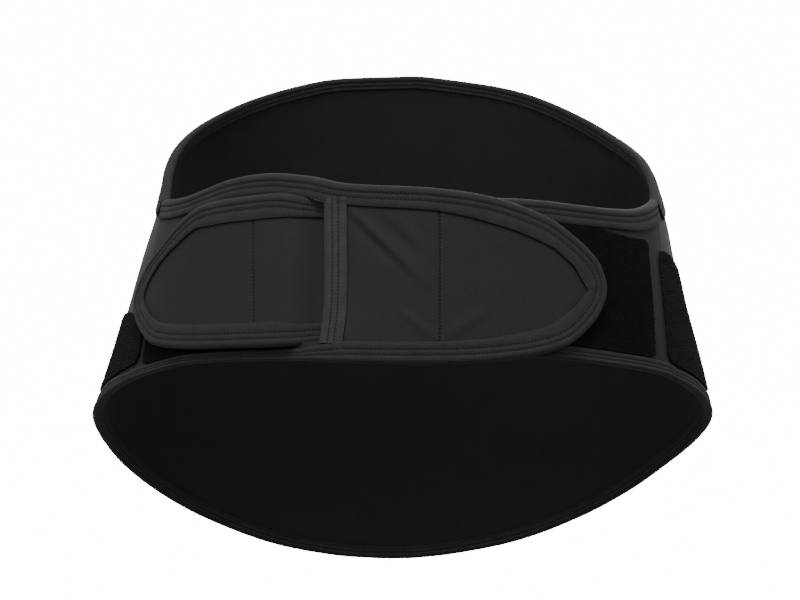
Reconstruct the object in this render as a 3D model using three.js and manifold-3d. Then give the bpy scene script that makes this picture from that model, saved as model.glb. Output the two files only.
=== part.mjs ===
// A maternity support belt, closed as it is worn, with its waist left open.
// Millimetres, +Z up. The closure faces -Y, and +X is to the right of someone looking at it.
// The origin is the middle of the loop, at the middle height of the closure band.
// Two wings cross at the front: the slotted wing has an upright slot, and the pull wing
// goes behind its end, out through the slot and back over it. Each end is a tongue.

import * as THREE from 'three';
import { mergeVertices } from 'three/addons/utils/BufferGeometryUtils.js';
import Module from 'manifold-3d';

const wasm = await Module();
wasm.setup();

// The form under the cloth: a cone with an oval section, narrower at its top.
const HALF_WIDTH = 145;
const HALF_DEPTH = 113;
const WIDTH_TAPER = 0.274; // half width lost for each millimetre of height
const LEAN = 0.04; // sideways shift for each millimetre of height

// The band and the back panel. Heights are from the band's middle.
const BAND_HEIGHT = 98; // of the wings, at the side seams
const BACK_TOP = 134;
const BACK_BOTTOM = 142;

// Places round the body, measured from the front centre along the cloth.
const SEAM_AT = 157; // each side seam
const SLOT_AT = -50; // the middle of the slot
const SLOT_WIDTH = 22;
const RIGHT_TIP_AT = 103.5; // the end of the slotted wing
const LEFT_TIP_AT = -158; // the end of the pull wing

// Thicknesses, outwards from the form.
const GAP = 0.35; // between any two pieces
const PANEL = 2.4; // laminated cloth
const BINDING = 0.9; // one leaf of a folded binding
const PILE = 1.2; // a loop patch
const HOOK = 1.0; // a hook patch

// Widths of the bindings as they show, from the outer edge.
const FACE = 11; // along the top and round the tongues
const LOWER_FACE_LEFT = 5;
const LOWER_FACE_RIGHT = 7;
const BACK_FACE = 8;
const SLOT_FACE = 10;
const LEAF_STEP = 2; // the hidden leaf is narrower than the one that shows

// The lower binding of a wing widens past the slot, between these shares of the way to its tip.
const WIDENS_FROM = 0.045;
const WIDENS_TO = 0.075;
// A binding has its full lower width where the way into the cloth points up by this much.
const LOWER_EDGE = 0.5;

// Patches, placed round the body from the front centre.
const LEFT_STITCH_AT = -77; // where the hidden hook patches are sewn on
const RIGHT_STITCH_AT = 16;
const LEFT_LOOP_FROM = -66;
const LEFT_LOOP_TO = -147;
const LEFT_LOOP_FALL = 24; // how much its top falls towards its end
const RIGHT_LOOP_FROM = 24;
const RIGHT_LOOP_TO = 140;
const RIGHT_LOOP_FALL = 6;
const FALLS_FROM = 0.6; // share of a loop patch's length where its top starts to fall
const CORNER = 6; // radius of a loop patch's corners
const SIDE_PATCH_AT = 152; // the front edge of each side patch
const SIDE_PATCH_LENGTH = 62;

// How finely the cloth is divided.
const STATION = 9.5; // between columns along the girth
const CLOSE_STATION = 3; // between columns where the wings change layers
const TIP_LENGTH = 15; // the rounded end of a tongue, with closer columns
const TIP_COLUMNS = 5;
const TIP_REST = 0.8; // of a column's turn is left for the flat end of a tongue
const CORNER_COLUMNS = 4;
const SIDE_PATCH_EVEN = [0.17, 0.9]; // shares of a side patch with evenly spaced columns
const SIDE_PATCH_LAST = 0.96; // and its last column before its rear edge
const BACK_COLUMNS = 54;
const BACK_ROWS_HIGH = 9;
const WING_ROWS_HIGH = 7;
const PATCH_ROWS_HIGH = 5;
const OUTLINE_STEPS = 240;
const OVAL_STEPS = 720;
const GIRTH_TRIES = 3; // to find a height on the back whose girth depends on it

const HALF_BAND = BAND_HEIGHT / 2;
const HEM = GAP + BINDING; // from a binding's outer edge to the cloth inside it
const PILE_LIFT = PANEL + GAP;
const HOOK_LIFT = PILE_LIFT + PILE + GAP;
const OUTER_LAYER = HOOK_LIFT + HOOK + GAP; // what a tongue's cloth lies at
const SLOT_EASE = 2; // of the slot at each side stays level
const STEP = SLOT_WIDTH - 2 * SLOT_EASE; // along which a wing changes layer at the slot

// Outline of the slotted wing. reach is -1 at its side seam, 0 at the slot and 1 at its tip.
// top and bottom are shares of half the band's height.
const SLOTTED_OUTLINE = [
  { reach: -1, top: 1, bottom: -1 },
  { reach: -0.86, top: 0.965, bottom: -0.955 },
  { reach: -0.73, top: 0.967, bottom: -0.91 },
  { reach: -0.61, top: 1.01, bottom: -0.88 },
  { reach: -0.42, top: 1.095, bottom: -0.867 },
  { reach: -0.2, top: 1.12, bottom: -0.87 },
  { reach: 0, top: 1.06, bottom: -0.88 },
  { reach: 0.13, top: 0.96, bottom: -0.91 },
  { reach: 0.42, top: 0.9, bottom: -0.927 },
  { reach: 0.61, top: 0.81, bottom: -0.894 },
  { reach: 0.78, top: 0.633, bottom: -0.804 },
  { reach: 0.87, top: 0.457, bottom: -0.69 },
  { reach: 0.93, top: 0.31, bottom: -0.53 },
  { reach: 0.975, top: 0.153, bottom: -0.347 },
  { reach: 1, top: -0.1, bottom: -0.1 },
];

// Outline of the pull wing, in the same way.
const PULL_OUTLINE = [
  { reach: -1, top: 1, bottom: -1 },
  { reach: -0.96, top: 0.93, bottom: -0.967 },
  { reach: -0.88, top: 0.833, bottom: -0.93 },
  { reach: -0.78, top: 0.796, bottom: -0.898 },
  { reach: -0.68, top: 0.8, bottom: -0.863 },
  { reach: -0.57, top: 0.824, bottom: -0.837 },
  { reach: -0.45, top: 0.829, bottom: -0.847 },
  { reach: -0.25, top: 0.796, bottom: -0.786 },
  { reach: -0.12, top: 0.74, bottom: -0.72 },
  { reach: -0.04, top: 0.732, bottom: -0.7 },
  { reach: 0, top: 0.785, bottom: -0.725 },
  { reach: 0.12, top: 0.88, bottom: -0.737 },
  { reach: 0.26, top: 0.878, bottom: -0.739 },
  { reach: 0.5, top: 0.837, bottom: -0.733 },
  { reach: 0.61, top: 0.765, bottom: -0.72 },
  { reach: 0.72, top: 0.6, bottom: -0.69 },
  { reach: 0.81, top: 0.408, bottom: -0.633 },
  { reach: 0.91, top: 0.24, bottom: -0.46 },
  { reach: 0.975, top: 0.02, bottom: -0.286 },
  { reach: 1, top: -0.143, bottom: -0.143 },
];

// Edges of the back panel. way is 0 at a side seam and 1 at the back centre.
// The other columns are shares of what the top edge rises and the bottom edge drops between the
// two, on the left half and on the right half.
const BACK_EDGES = [
  { way: 0, riseLeft: 0, riseRight: 0, dropLeft: 0, dropRight: 0 },
  { way: 0.06, riseLeft: 0.2, riseRight: 0.16, dropLeft: 0.04, dropRight: 0.04 },
  { way: 0.12, riseLeft: 0.39, riseRight: 0.3, dropLeft: 0.088, dropRight: 0.088 },
  { way: 0.19, riseLeft: 0.54, riseRight: 0.405, dropLeft: 0.147, dropRight: 0.147 },
  { way: 0.27, riseLeft: 0.655, riseRight: 0.515, dropLeft: 0.214, dropRight: 0.214 },
  { way: 0.36, riseLeft: 0.757, riseRight: 0.64, dropLeft: 0.31, dropRight: 0.3 },
  { way: 0.46, riseLeft: 0.842, riseRight: 0.755, dropLeft: 0.452, dropRight: 0.42 },
  { way: 0.57, riseLeft: 0.913, riseRight: 0.853, dropLeft: 0.615, dropRight: 0.583 },
  { way: 0.68, riseLeft: 0.963, riseRight: 0.915, dropLeft: 0.77, dropRight: 0.745 },
  { way: 0.8, riseLeft: 0.985, riseRight: 0.957, dropLeft: 0.91, dropRight: 0.893 },
  { way: 0.9, riseLeft: 0.994, riseRight: 0.984, dropLeft: 0.979, dropRight: 0.968 },
  { way: 0.97, riseLeft: 0.999, riseRight: 0.998, dropLeft: 0.999, dropRight: 0.998 },
  { way: 1, riseLeft: 1, riseRight: 1, dropLeft: 1, dropRight: 1 },
];

// Edges of a side patch. way is 0 at its front edge and 1 at its rear edge.
// topLeft and topRight are its height on either side and bottom its height above the back's
// binding, all as shares of half the band's height.
const SIDE_PATCH_EDGES = [
  { way: 0, topLeft: -0.45, topRight: 0.3, bottom: 0.1 },
  { way: 0.03, topLeft: -0.34, topRight: 0.39, bottom: 0.04 },
  { way: 0.09, topLeft: -0.3, topRight: 0.41, bottom: 0.02 },
  { way: 0.4, topLeft: -0.24, topRight: 0.32, bottom: 0.02 },
  { way: 0.7, topLeft: -0.25, topRight: 0.2, bottom: 0.02 },
  { way: 0.93, topLeft: -0.3, topRight: 0.1, bottom: 0.04 },
  { way: 1, topLeft: -0.4, topRight: 0, bottom: 0.12 },
];

// Folds pressed into the right tongue between the slot and its stitch line.
// Each is a rounded ridge from one place to another, as shares of the way from the slot to
// the stitch line (along) and of half the band's height (up). rise is a share of the highest.
const FOLD_WIDTH = 5;
const FOLD_RISE = 1.3;
const FOLDS = [
  { along: 0.42, up: 0.5, toAlong: 0.88, toUp: -0.1, rise: 1 },
  { along: 0.62, up: 0.5, toAlong: 0.8, toUp: 0.24, rise: 0.54 },
  { along: 0.38, up: 0.1, toAlong: 0.41, toUp: -0.45, rise: 0.38 },
];

const { lerp, smoothstep, clamp } = THREE.MathUtils;

// The oval's length from its front, at evenly spaced turns, at the origin's level.
function ovalLengths() {
  const lengths = [0];
  const stepTurn = Math.PI / OVAL_STEPS;
  for (let i = 0; i < OVAL_STEPS; i += 1) {
    const turn = (i + 0.5) * stepTurn;
    const across = HALF_WIDTH * Math.cos(turn);
    const deep = HALF_DEPTH * Math.sin(turn);
    lengths.push(lengths[i] + Math.hypot(across, deep) * stepTurn);
  }
  return lengths;
}

const OVAL = ovalLengths();
const HALF_GIRTH = OVAL[OVAL_STEPS];

// The turn from the front at which the oval has this length, either way and past the back.
function turnAt(length) {
  const rounds = Math.round(length / (2 * HALF_GIRTH));
  const rest = length - rounds * 2 * HALF_GIRTH;
  const far = Math.min(Math.abs(rest), HALF_GIRTH);
  const next = clamp(OVAL.findIndex((value) => value >= far), 1, OVAL_STEPS);
  const share = (far - OVAL[next - 1]) / (OVAL[next] - OVAL[next - 1]);
  const turn = ((next - 1 + share) * Math.PI) / OVAL_STEPS;
  return rounds * 2 * Math.PI + Math.sign(rest) * turn;
}

const narrowing = (height) => 1 - (height * WIDTH_TAPER) / HALF_WIDTH;
const girthAt = (height) => 2 * HALF_GIRTH * narrowing(height);

// A point of the cloth: its length round from the front centre, height, and lift off the form.
function wrap(along, height, lift) {
  const scale = narrowing(height);
  const turn = turnAt(along / scale);
  const outward = new THREE.Vector2(Math.sin(turn) / HALF_WIDTH, -Math.cos(turn) / HALF_DEPTH);
  outward.normalize();
  const x = HALF_WIDTH * scale * Math.sin(turn) + lift * outward.x;
  const y = -HALF_DEPTH * scale * Math.cos(turn) + lift * outward.y;
  return new THREE.Vector3(x + LEAN * height, y, height);
}

// A smooth curve through table rows, as closely spaced points of along and height.
function smooth(points) {
  const flat = points.map(([along, height]) => new THREE.Vector3(along, height, 0));
  return new THREE.CatmullRomCurve3(flat, false, 'centripetal').getSpacedPoints(OUTLINE_STEPS);
}

// The height of a curve of points where it passes a place along the girth.
function heightOn(points, along) {
  const forward = Math.sign(points.at(-1).x - points[0].x);
  const found = points.findIndex((point) => (point.x - along) * forward >= 0);
  const next = clamp(found < 0 ? points.length - 1 : found, 1, points.length - 1);
  const [a, b] = [points[next - 1], points[next]];
  const share = clamp((along - a.x) / (b.x - a.x || 1), 0, 1);
  return lerp(a.y, b.y, share);
}

// A wing: its outline from the seam along the top, round the tip and back along the bottom.
function makeWing(rows, seam, tip, liftAt, lowerFace) {
  const reachAt = (along) => (along - SLOT_AT) / (tip - SLOT_AT);
  const place = (reach) => SLOT_AT + reach * (reach < 0 ? SLOT_AT - seam : tip - SLOT_AT);
  const top = rows.map((row) => [place(row.reach), row.top * HALF_BAND]);
  const bottom = rows.slice(0, -1).reverse().map((row) => [place(row.reach), row.bottom * HALF_BAND]);
  const heading = Math.sign(tip - seam);
  const widening = (along) => smoothstep(reachAt(along), WIDENS_FROM, WIDENS_TO);
  const lowerFaceAt = (along) => lerp(lowerFace, FACE, widening(along));
  return { seam, heading, liftAt, lowerFaceAt, outline: smooth([...top, ...bottom]) };
}

// The unit direction into the cloth at a point of a wing's outline.
// At the seam the cloth is cut square, so there it points straight up or down.
function inward(line, i, heading) {
  const atEnd = i === 0 || i === line.length - 1;
  const from = line[Math.max(i - 1, 0)];
  const to = line[Math.min(i + 1, line.length - 1)];
  const ahead = new THREE.Vector2(to.x - from.x, atEnd ? 0 : to.y - from.y).normalize();
  return new THREE.Vector2(ahead.y * heading, -ahead.x * heading);
}

// A wing's outline moved into the cloth. depthAt gives how far at each place.
function inset(wing, depthAt) {
  return wing.outline.map((point, i) => {
    const into = inward(wing.outline, i, wing.heading);
    const depth = depthAt(point.x, into.y > 0);
    return new THREE.Vector3(point.x + into.x * depth, point.y + into.y * depth, 0);
  });
}

// An outline's top and bottom edge heights, and where its tip is.
function edgesOf(line) {
  const reachOf = (i) => Math.abs(line[i].x - line[0].x);
  const tip = line.reduce((far, point, i) => (reachOf(i) > reachOf(far) ? i : far), 0);
  const upper = line.slice(0, tip + 1);
  const lower = line.slice(tip).reverse();
  return {
    tipAt: line[tip].x,
    tipHeight: line[tip].y,
    top: (along) => heightOn(upper, along),
    bottom: (along) => heightOn(lower, along),
  };
}

// Places of the columns from one place to another, all at about the same spacing.
function evenPlaces(from, to, spacing = STATION) {
  const count = Math.max(2, Math.round(Math.abs(to - from) / spacing));
  return Array.from({ length: count + 1 }, (_, i) => lerp(from, to, i / count));
}

// The same with closer columns where the cloth rounds off at a tip.
function placesToTip(from, tip) {
  const heading = Math.sign(tip - from);
  const shoulder = tip - heading * TIP_LENGTH;
  const rounded = Array.from({ length: TIP_COLUMNS }, (_, i) => {
    const quarter = ((i + 1) / (TIP_COLUMNS + TIP_REST)) * (Math.PI / 2);
    return shoulder + heading * TIP_LENGTH * Math.sin(quarter);
  });
  const slotStart = SLOT_AT - heading * (STEP / 2);
  const slotEnd = SLOT_AT + heading * (STEP / 2);
  if ((slotStart - from) * heading < 0) return [...evenPlaces(from, shoulder), ...rounded];
  return [
    ...evenPlaces(from, slotStart).slice(0, -1),
    ...evenPlaces(slotStart, slotEnd, CLOSE_STATION),
    ...evenPlaces(slotEnd, shoulder).slice(1),
    ...rounded,
  ];
}

// Columns of cloth at these places, between an outline's edges.
function columnsAt(places, edges) {
  return places.map((along) => ({ along, top: edges.top(along), bottom: edges.bottom(along) }));
}

// Makes a geometry of loose faces one closed body with its faces pointing out.
function closed(geometry) {
  geometry.deleteAttribute('normal');
  geometry.deleteAttribute('uv');
  const merged = mergeVertices(geometry);
  const spots = merged.attributes.position;
  const corner = [new THREE.Vector3(), new THREE.Vector3(), new THREE.Vector3()];
  const faces = merged.index.array;
  let volume = 0;
  for (let i = 0; i < faces.length; i += 3) {
    corner.forEach((point, k) => point.fromBufferAttribute(spots, faces[i + k]));
    volume += corner[0].dot(corner[1].cross(corner[2]));
  }
  for (let i = 0; volume < 0 && i < faces.length; i += 3) {
    [faces[i], faces[i + 1]] = [faces[i + 1], faces[i]];
  }
  return merged;
}

// Moves every vertex of a unit shape to its place on the body.
function bend(geometry, placeOf) {
  const spots = geometry.attributes.position;
  for (let i = 0; i < spots.count; i += 1) {
    const place = placeOf(spots.getX(i), spots.getY(i), spots.getZ(i));
    spots.setXYZ(i, place.x, place.y, place.z);
  }
  return closed(geometry);
}

// Cloth between the top and bottom of its columns, from one lift to another.
function sheet(columns, rowsHigh, place) {
  const count = columns.length - 1;
  const box = new THREE.BoxGeometry(1, 1, 1, count, rowsHigh, 1);
  return bend(box, (x, y, z) => {
    const column = columns[Math.round((x + 0.5) * count)];
    const height = lerp(column.bottom, column.top, y + 0.5);
    return place(column.along, height, z + 0.5);
  });
}

// A folded binding's section: x is the depth into the cloth, y the lift from its inner face.
function bindingSection(face) {
  const hidden = face - LEAF_STEP;
  const section = new THREE.Shape();
  section.moveTo(-HEM, -HEM);
  section.lineTo(hidden - HEM, -HEM);
  section.lineTo(hidden - HEM, -GAP);
  section.lineTo(-GAP, -GAP);
  section.lineTo(-GAP, PANEL + GAP);
  section.lineTo(face - HEM, PANEL + GAP);
  section.lineTo(face - HEM, PANEL + HEM);
  section.lineTo(-HEM, PANEL + HEM);
  section.closePath();
  return section;
}

// A binding folded over an edge. placeOf takes the step along it, the depth and the lift.
function binding(face, steps, placeOf) {
  const straight = new THREE.ExtrudeGeometry(bindingSection(face), {
    depth: 1,
    steps,
    bevelEnabled: false,
  });
  return bend(straight, (depth, lift, z) => placeOf(Math.round(z * steps), depth, lift));
}

// A depth into the cloth, stretched so that a binding shows its own width here.
function stretched(depth, face) {
  return depth > 0 ? (depth * (face - HEM)) / (FACE - HEM) : depth;
}

// Cutting with solids.
function toSolid(geometry) {
  const vertProperties = Float32Array.from(geometry.attributes.position.array);
  const triVerts = Uint32Array.from(geometry.index.array);
  return new wasm.Manifold(new wasm.Mesh({ numProp: 3, vertProperties, triVerts }));
}

function toGeometry(solid) {
  const { vertProperties, triVerts } = solid.getMesh();
  const geometry = new THREE.BufferGeometry();
  geometry.setAttribute('position', new THREE.BufferAttribute(vertProperties, 3));
  geometry.setIndex(new THREE.BufferAttribute(triVerts, 1));
  return geometry;
}

// The relief of the pressed folds at a place on the right tongue.
function foldRelief(along, height) {
  const span = RIGHT_STITCH_AT - SLOT_AT;
  const here = new THREE.Vector3(along, height, 0);
  return FOLDS.reduce((total, fold) => {
    const from = new THREE.Vector3(SLOT_AT + fold.along * span, fold.up * HALF_BAND, 0);
    const to = new THREE.Vector3(SLOT_AT + fold.toAlong * span, fold.toUp * HALF_BAND, 0);
    const nearest = new THREE.Line3(from, to).closestPointToPoint(here, true, new THREE.Vector3());
    const share = here.distanceTo(nearest) / FOLD_WIDTH;
    return total + FOLD_RISE * fold.rise * Math.exp(-share * share);
  }, 0);
}

// How far each wing's cloth lies off the form. At the slot the two change places.
const changeOver = (along) => smoothstep(along, SLOT_AT - STEP / 2, SLOT_AT + STEP / 2);
const slottedLift = (along, height) => OUTER_LAYER * changeOver(along) + foldRelief(along, height);
const pullLift = (along) => OUTER_LAYER * (1 - changeOver(along));

const slotted = makeWing(SLOTTED_OUTLINE, -SEAM_AT, RIGHT_TIP_AT, slottedLift, LOWER_FACE_LEFT);
const pull = makeWing(PULL_OUTLINE, SEAM_AT, LEFT_TIP_AT, pullLift, LOWER_FACE_RIGHT);

// Colours and finishes.
const BLACK_CLOTH = { color: 0x1b1b1c, roughness: 0.85, metalness: 0 };
const BLACK_BINDING = { color: 0x222223, roughness: 0.75, metalness: 0 };
const BLACK_LOOP = { color: 0x0c0c0d, roughness: 1, metalness: 0 };
const BLACK_RIBBED = { color: 0x141415, roughness: 0.95, metalness: 0 };
const BLACK_HOOK = { color: 0x101011, roughness: 0.6, metalness: 0 };

const belt = new THREE.Group();
belt.name = 'maternity_support_belt';

function add(name, geometry, finish) {
  const mesh = new THREE.Mesh(geometry, new THREE.MeshStandardMaterial(finish));
  mesh.name = name;
  belt.add(mesh);
}

// The cloth of a wing, whose edges lie inside its binding.
function wingCloth(wing) {
  const edges = edgesOf(inset(wing, () => HEM));
  const start = wing.seam + wing.heading * (GAP / 2);
  const columns = columnsAt(placesToTip(start, edges.tipAt), edges);
  return sheet(columns, WING_ROWS_HIGH, (along, height, share) =>
    wrap(along, height, wing.liftAt(along, height) + share * PANEL));
}

// The outline points that a wing's binding follows: one at each column, and one at the tip.
function bindingPath(wing) {
  const edges = edgesOf(inset(wing, () => HEM));
  const places = placesToTip(wing.seam + wing.heading * (GAP / 2), edges.tipAt);
  const upper = places.map((along) => new THREE.Vector2(along, edges.top(along)));
  const tip = new THREE.Vector2(edges.tipAt, edges.tipHeight);
  const lower = places.map((along) => new THREE.Vector2(along, edges.bottom(along))).reverse();
  return [...upper, tip, ...lower];
}

function wingBinding(wing) {
  const path = bindingPath(wing);
  const directions = path.map((_, i) => inward(path, i, wing.heading));
  return binding(FACE, path.length - 1, (i, depth, lift) => {
    const into = directions[i];
    const face = lerp(FACE, wing.lowerFaceAt(path[i].x), smoothstep(into.y, 0, LOWER_EDGE));
    const reach = stretched(depth, face);
    const along = path[i].x + into.x * reach;
    const height = path[i].y + into.y * reach;
    return wrap(along, height, wing.liftAt(along, height) + lift);
  });
}

// What the slot takes out of the slotted wing, up to just inside its bindings.
const SLOT_FROM = SLOT_AT - SLOT_WIDTH / 2;
const SLOT_TO = SLOT_AT + SLOT_WIDTH / 2;
const slottedEdges = edgesOf(slotted.outline);

function slotCutter() {
  const columns = evenPlaces(SLOT_FROM, SLOT_TO).map((along) => ({
    along,
    top: slottedEdges.top(along) - FACE + GAP,
    bottom: slottedEdges.bottom(along) + slotted.lowerFaceAt(along) - GAP,
  }));
  return sheet(columns, WING_ROWS_HIGH, (along, height, share) =>
    wrap(along, height, lerp(-FACE, OUTER_LAYER + FACE, share)));
}

function slottedWing() {
  return toGeometry(toSolid(wingCloth(slotted)).subtract(toSolid(slotCutter())));
}

// The folded strip on the slot's edge that shows, from the top binding to the bottom one.
function slotBinding() {
  return binding(SLOT_FACE, WING_ROWS_HIGH, (i, depth, lift) => {
    const along = SLOT_TO + depth;
    const low = slottedEdges.bottom(along) + FACE + GAP;
    const high = slottedEdges.top(along) - FACE - 2 * GAP;
    const height = lerp(low, high, i / WING_ROWS_HIGH);
    return wrap(along, height, slotted.liftAt(along, height) + lift);
  });
}

// The back panel is measured by its way round, 0 at the right seam and 1 at the left seam.
const backAlong = (way, height) => lerp(SEAM_AT, girthAt(height) - SEAM_AT, way);
const fromSeam = (way) => 1 - Math.abs(2 * way - 1);
const edgeCurve = (column) => smooth(BACK_EDGES.map((row) => [row.way, row[column]]));
const RIGHT_EDGES = { rise: edgeCurve('riseRight'), drop: edgeCurve('dropRight') };
const LEFT_EDGES = { rise: edgeCurve('riseLeft'), drop: edgeCurve('dropLeft') };
const edgesAt = (way) => (way < 0.5 ? RIGHT_EDGES : LEFT_EDGES);
const backTop = (way) => lerp(HALF_BAND, BACK_TOP, heightOn(edgesAt(way).rise, fromSeam(way)));
const backBottom = (way) => -lerp(HALF_BAND, BACK_BOTTOM, heightOn(edgesAt(way).drop, fromSeam(way)));

// The ways of the back's columns, which stay clear of the wings at both seams.
function backWays() {
  const margin = GAP / 2 / (girthAt(0) - 2 * SEAM_AT);
  return Array.from({ length: BACK_COLUMNS + 1 }, (_, i) => lerp(margin, 1 - margin, i / BACK_COLUMNS));
}

function backPanel() {
  const columns = backWays().map((way) => ({
    along: way,
    top: backTop(way) - HEM,
    bottom: backBottom(way) + HEM,
  }));
  return sheet(columns, BACK_ROWS_HIGH, (way, height, share) =>
    wrap(backAlong(way, height), height, share * PANEL));
}

// A binding on one long edge of the back panel. side is 1 for the top and -1 for the bottom.
function backBinding(edgeAt, side) {
  const ways = backWays();
  return binding(BACK_FACE, BACK_COLUMNS, (i, depth, lift) => {
    const height = edgeAt(ways[i]) - side * (HEM + depth);
    return wrap(backAlong(ways[i], height), height, lift);
  });
}

// A patch on a wing, inside its bindings, with rounded corners at the end that shows.
function wingPatch(wing, from, to, fallAtEnd) {
  const margin = (along, below) => (below ? wing.lowerFaceAt(along) : FACE) + GAP;
  const edges = edgesOf(inset(wing, margin));
  const heading = Math.sign(to - from);
  const straight = evenPlaces(from, to - heading * CORNER);
  const corner = Array.from({ length: CORNER_COLUMNS }, (_, i) => {
    const quarter = ((i + 1) / CORNER_COLUMNS) * (Math.PI / 2);
    return to - heading * CORNER * (1 - Math.sin(quarter));
  });
  const columns = [...straight, ...corner].map((along) => {
    const past = clamp(1 - Math.abs(to - along) / CORNER, 0, 1);
    const rounding = CORNER * (1 - Math.sqrt(1 - past * past));
    const fall = fallAtEnd * smoothstep((along - from) / (to - from), FALLS_FROM, 1);
    return { along, top: edges.top(along) - rounding - fall, bottom: edges.bottom(along) + rounding / 2 };
  });
  return sheet(columns, PATCH_ROWS_HIGH, (along, height, share) =>
    wrap(along, height, PILE_LIFT + share * PILE));
}

// A hook patch under a tongue, from its stitch line to just short of the tip's binding.
function hookPatch(wing, from) {
  const edges = edgesOf(inset(wing, () => FACE + GAP));
  const columns = columnsAt(placesToTip(from, edges.tipAt), edges);
  return sheet(columns, PATCH_ROWS_HIGH, (along, height, share) =>
    wrap(along, height, HOOK_LIFT + share * HOOK));
}

// The height of the back's bottom edge at a length round from the front centre, on one side.
// The girth depends on the height, so it is worked out a few times over.
function backBottomAt(along, side) {
  let height = -HALF_BAND;
  for (let i = 0; i < GIRTH_TRIES; i += 1) {
    const way = Math.max((along - SEAM_AT) / (girthAt(height) - 2 * SEAM_AT), 0);
    height = backBottom(side > 0 ? way : 1 - way);
  }
  return height;
}

// A ribbed loop patch over a side seam. side is 1 on the right and -1 on the left.
function sidePatch(side) {
  const column = side > 0 ? 'topRight' : 'topLeft';
  const topCurve = smooth(SIDE_PATCH_EDGES.map((row) => [row.way, row[column]]));
  const bottomCurve = smooth(SIDE_PATCH_EDGES.map((row) => [row.way, row.bottom]));
  const corner = SIDE_PATCH_EDGES.slice(1, 3).map((row) => row.way);
  const [evenFrom, evenTo] = SIDE_PATCH_EVEN.map((way) => way * SIDE_PATCH_LENGTH);
  const even = evenPlaces(evenFrom, evenTo).map((along) => along / SIDE_PATCH_LENGTH);
  const places = [0, ...corner, ...even, SIDE_PATCH_LAST, 1];
  const columns = places.map((way) => ({
    along: side * (SIDE_PATCH_AT + way * SIDE_PATCH_LENGTH),
    top: heightOn(topCurve, way) * HALF_BAND,
    bottom: backBottomAt(SIDE_PATCH_AT + way * SIDE_PATCH_LENGTH, side) + BACK_FACE + GAP
      + heightOn(bottomCurve, way) * HALF_BAND,
  }));
  return sheet(columns, PATCH_ROWS_HIGH, (along, height, share) =>
    wrap(along, height, PILE_LIFT + share * PILE));
}

add('back_panel', backPanel(), BLACK_CLOTH);
add('slotted_wing', slottedWing(), BLACK_CLOTH);
add('pull_wing', wingCloth(pull), BLACK_CLOTH);
add('back_binding_top', backBinding(backTop, 1), BLACK_BINDING);
add('back_binding_bottom', backBinding(backBottom, -1), BLACK_BINDING);
add('slotted_wing_binding', wingBinding(slotted), BLACK_BINDING);
add('pull_wing_binding', wingBinding(pull), BLACK_BINDING);
add('slot_binding', slotBinding(), BLACK_BINDING);
add('loop_patch_left', wingPatch(slotted, LEFT_LOOP_FROM, LEFT_LOOP_TO, LEFT_LOOP_FALL), BLACK_LOOP);
add('loop_patch_right', wingPatch(pull, RIGHT_LOOP_FROM, RIGHT_LOOP_TO, RIGHT_LOOP_FALL), BLACK_LOOP);
add('side_patch_left', sidePatch(-1), BLACK_RIBBED);
add('side_patch_right', sidePatch(1), BLACK_RIBBED);
add('hook_patch_left', hookPatch(pull, LEFT_STITCH_AT), BLACK_HOOK);
add('hook_patch_right', hookPatch(slotted, RIGHT_STITCH_AT), BLACK_HOOK);

export default belt;
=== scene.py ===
# %% [markdown]
# A maternity support belt of black cloth, closed as it is worn, round a waist that isn't there.
# A tall panel goes round the back. Two wings come forward from its sides: one has an upright
# slot, and the other goes behind its end, out through the slot and back over it. Each wing ends
# in a rounded tongue that holds by hooks and loops. Every edge is bound with folded tape.
# The solid model gives the frame, and this lesson makes the cloth, tape, stitches and pile.

import math

import bmesh
import bpy
import numpy as np
from mathutils import Matrix, Vector, noise
from mathutils.geometry import interpolate_bezier


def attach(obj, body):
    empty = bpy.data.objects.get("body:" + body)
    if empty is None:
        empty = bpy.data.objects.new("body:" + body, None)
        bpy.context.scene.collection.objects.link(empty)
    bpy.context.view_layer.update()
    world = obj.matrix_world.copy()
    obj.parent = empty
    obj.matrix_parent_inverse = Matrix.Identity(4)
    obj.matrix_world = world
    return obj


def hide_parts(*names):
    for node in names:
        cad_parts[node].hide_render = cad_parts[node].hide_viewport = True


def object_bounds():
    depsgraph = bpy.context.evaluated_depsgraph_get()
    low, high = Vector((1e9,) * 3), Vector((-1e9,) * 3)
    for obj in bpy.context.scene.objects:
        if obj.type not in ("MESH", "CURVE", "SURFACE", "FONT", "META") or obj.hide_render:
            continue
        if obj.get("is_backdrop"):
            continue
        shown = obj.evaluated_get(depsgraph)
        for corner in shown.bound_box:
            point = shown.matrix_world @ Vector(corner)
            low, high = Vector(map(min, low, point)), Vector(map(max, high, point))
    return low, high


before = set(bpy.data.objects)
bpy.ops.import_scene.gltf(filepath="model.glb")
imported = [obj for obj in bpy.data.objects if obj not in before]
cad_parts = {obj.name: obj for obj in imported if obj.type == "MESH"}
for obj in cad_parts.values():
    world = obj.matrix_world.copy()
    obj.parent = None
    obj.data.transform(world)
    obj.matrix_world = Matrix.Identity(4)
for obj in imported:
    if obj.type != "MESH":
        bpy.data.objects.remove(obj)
cad_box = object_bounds()
print("nodes in the frame:", ", ".join(sorted(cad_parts)))

# %% [markdown]
# The camera comes first, so that each piece can be looked at as it is made. The belt was seen
# from a little below its own level, with a long lens, which keeps the near and far edges in
# proportion. The camera could be aimed by a constraint, but a rotation worked out once from
# where it stands and what it looks at is simpler to keep.

# %% Camera
MM = 0.001
PHOTO_WIDTH = 800
FOCAL_PIXELS = 2782.5
SENSOR = 36.0
AIM = Vector((-2.7, 0, -2.4)) * MM
CAMERA_DISTANCE = 1500 * MM
CAMERA_ELEVATION = math.radians(-5)

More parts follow.
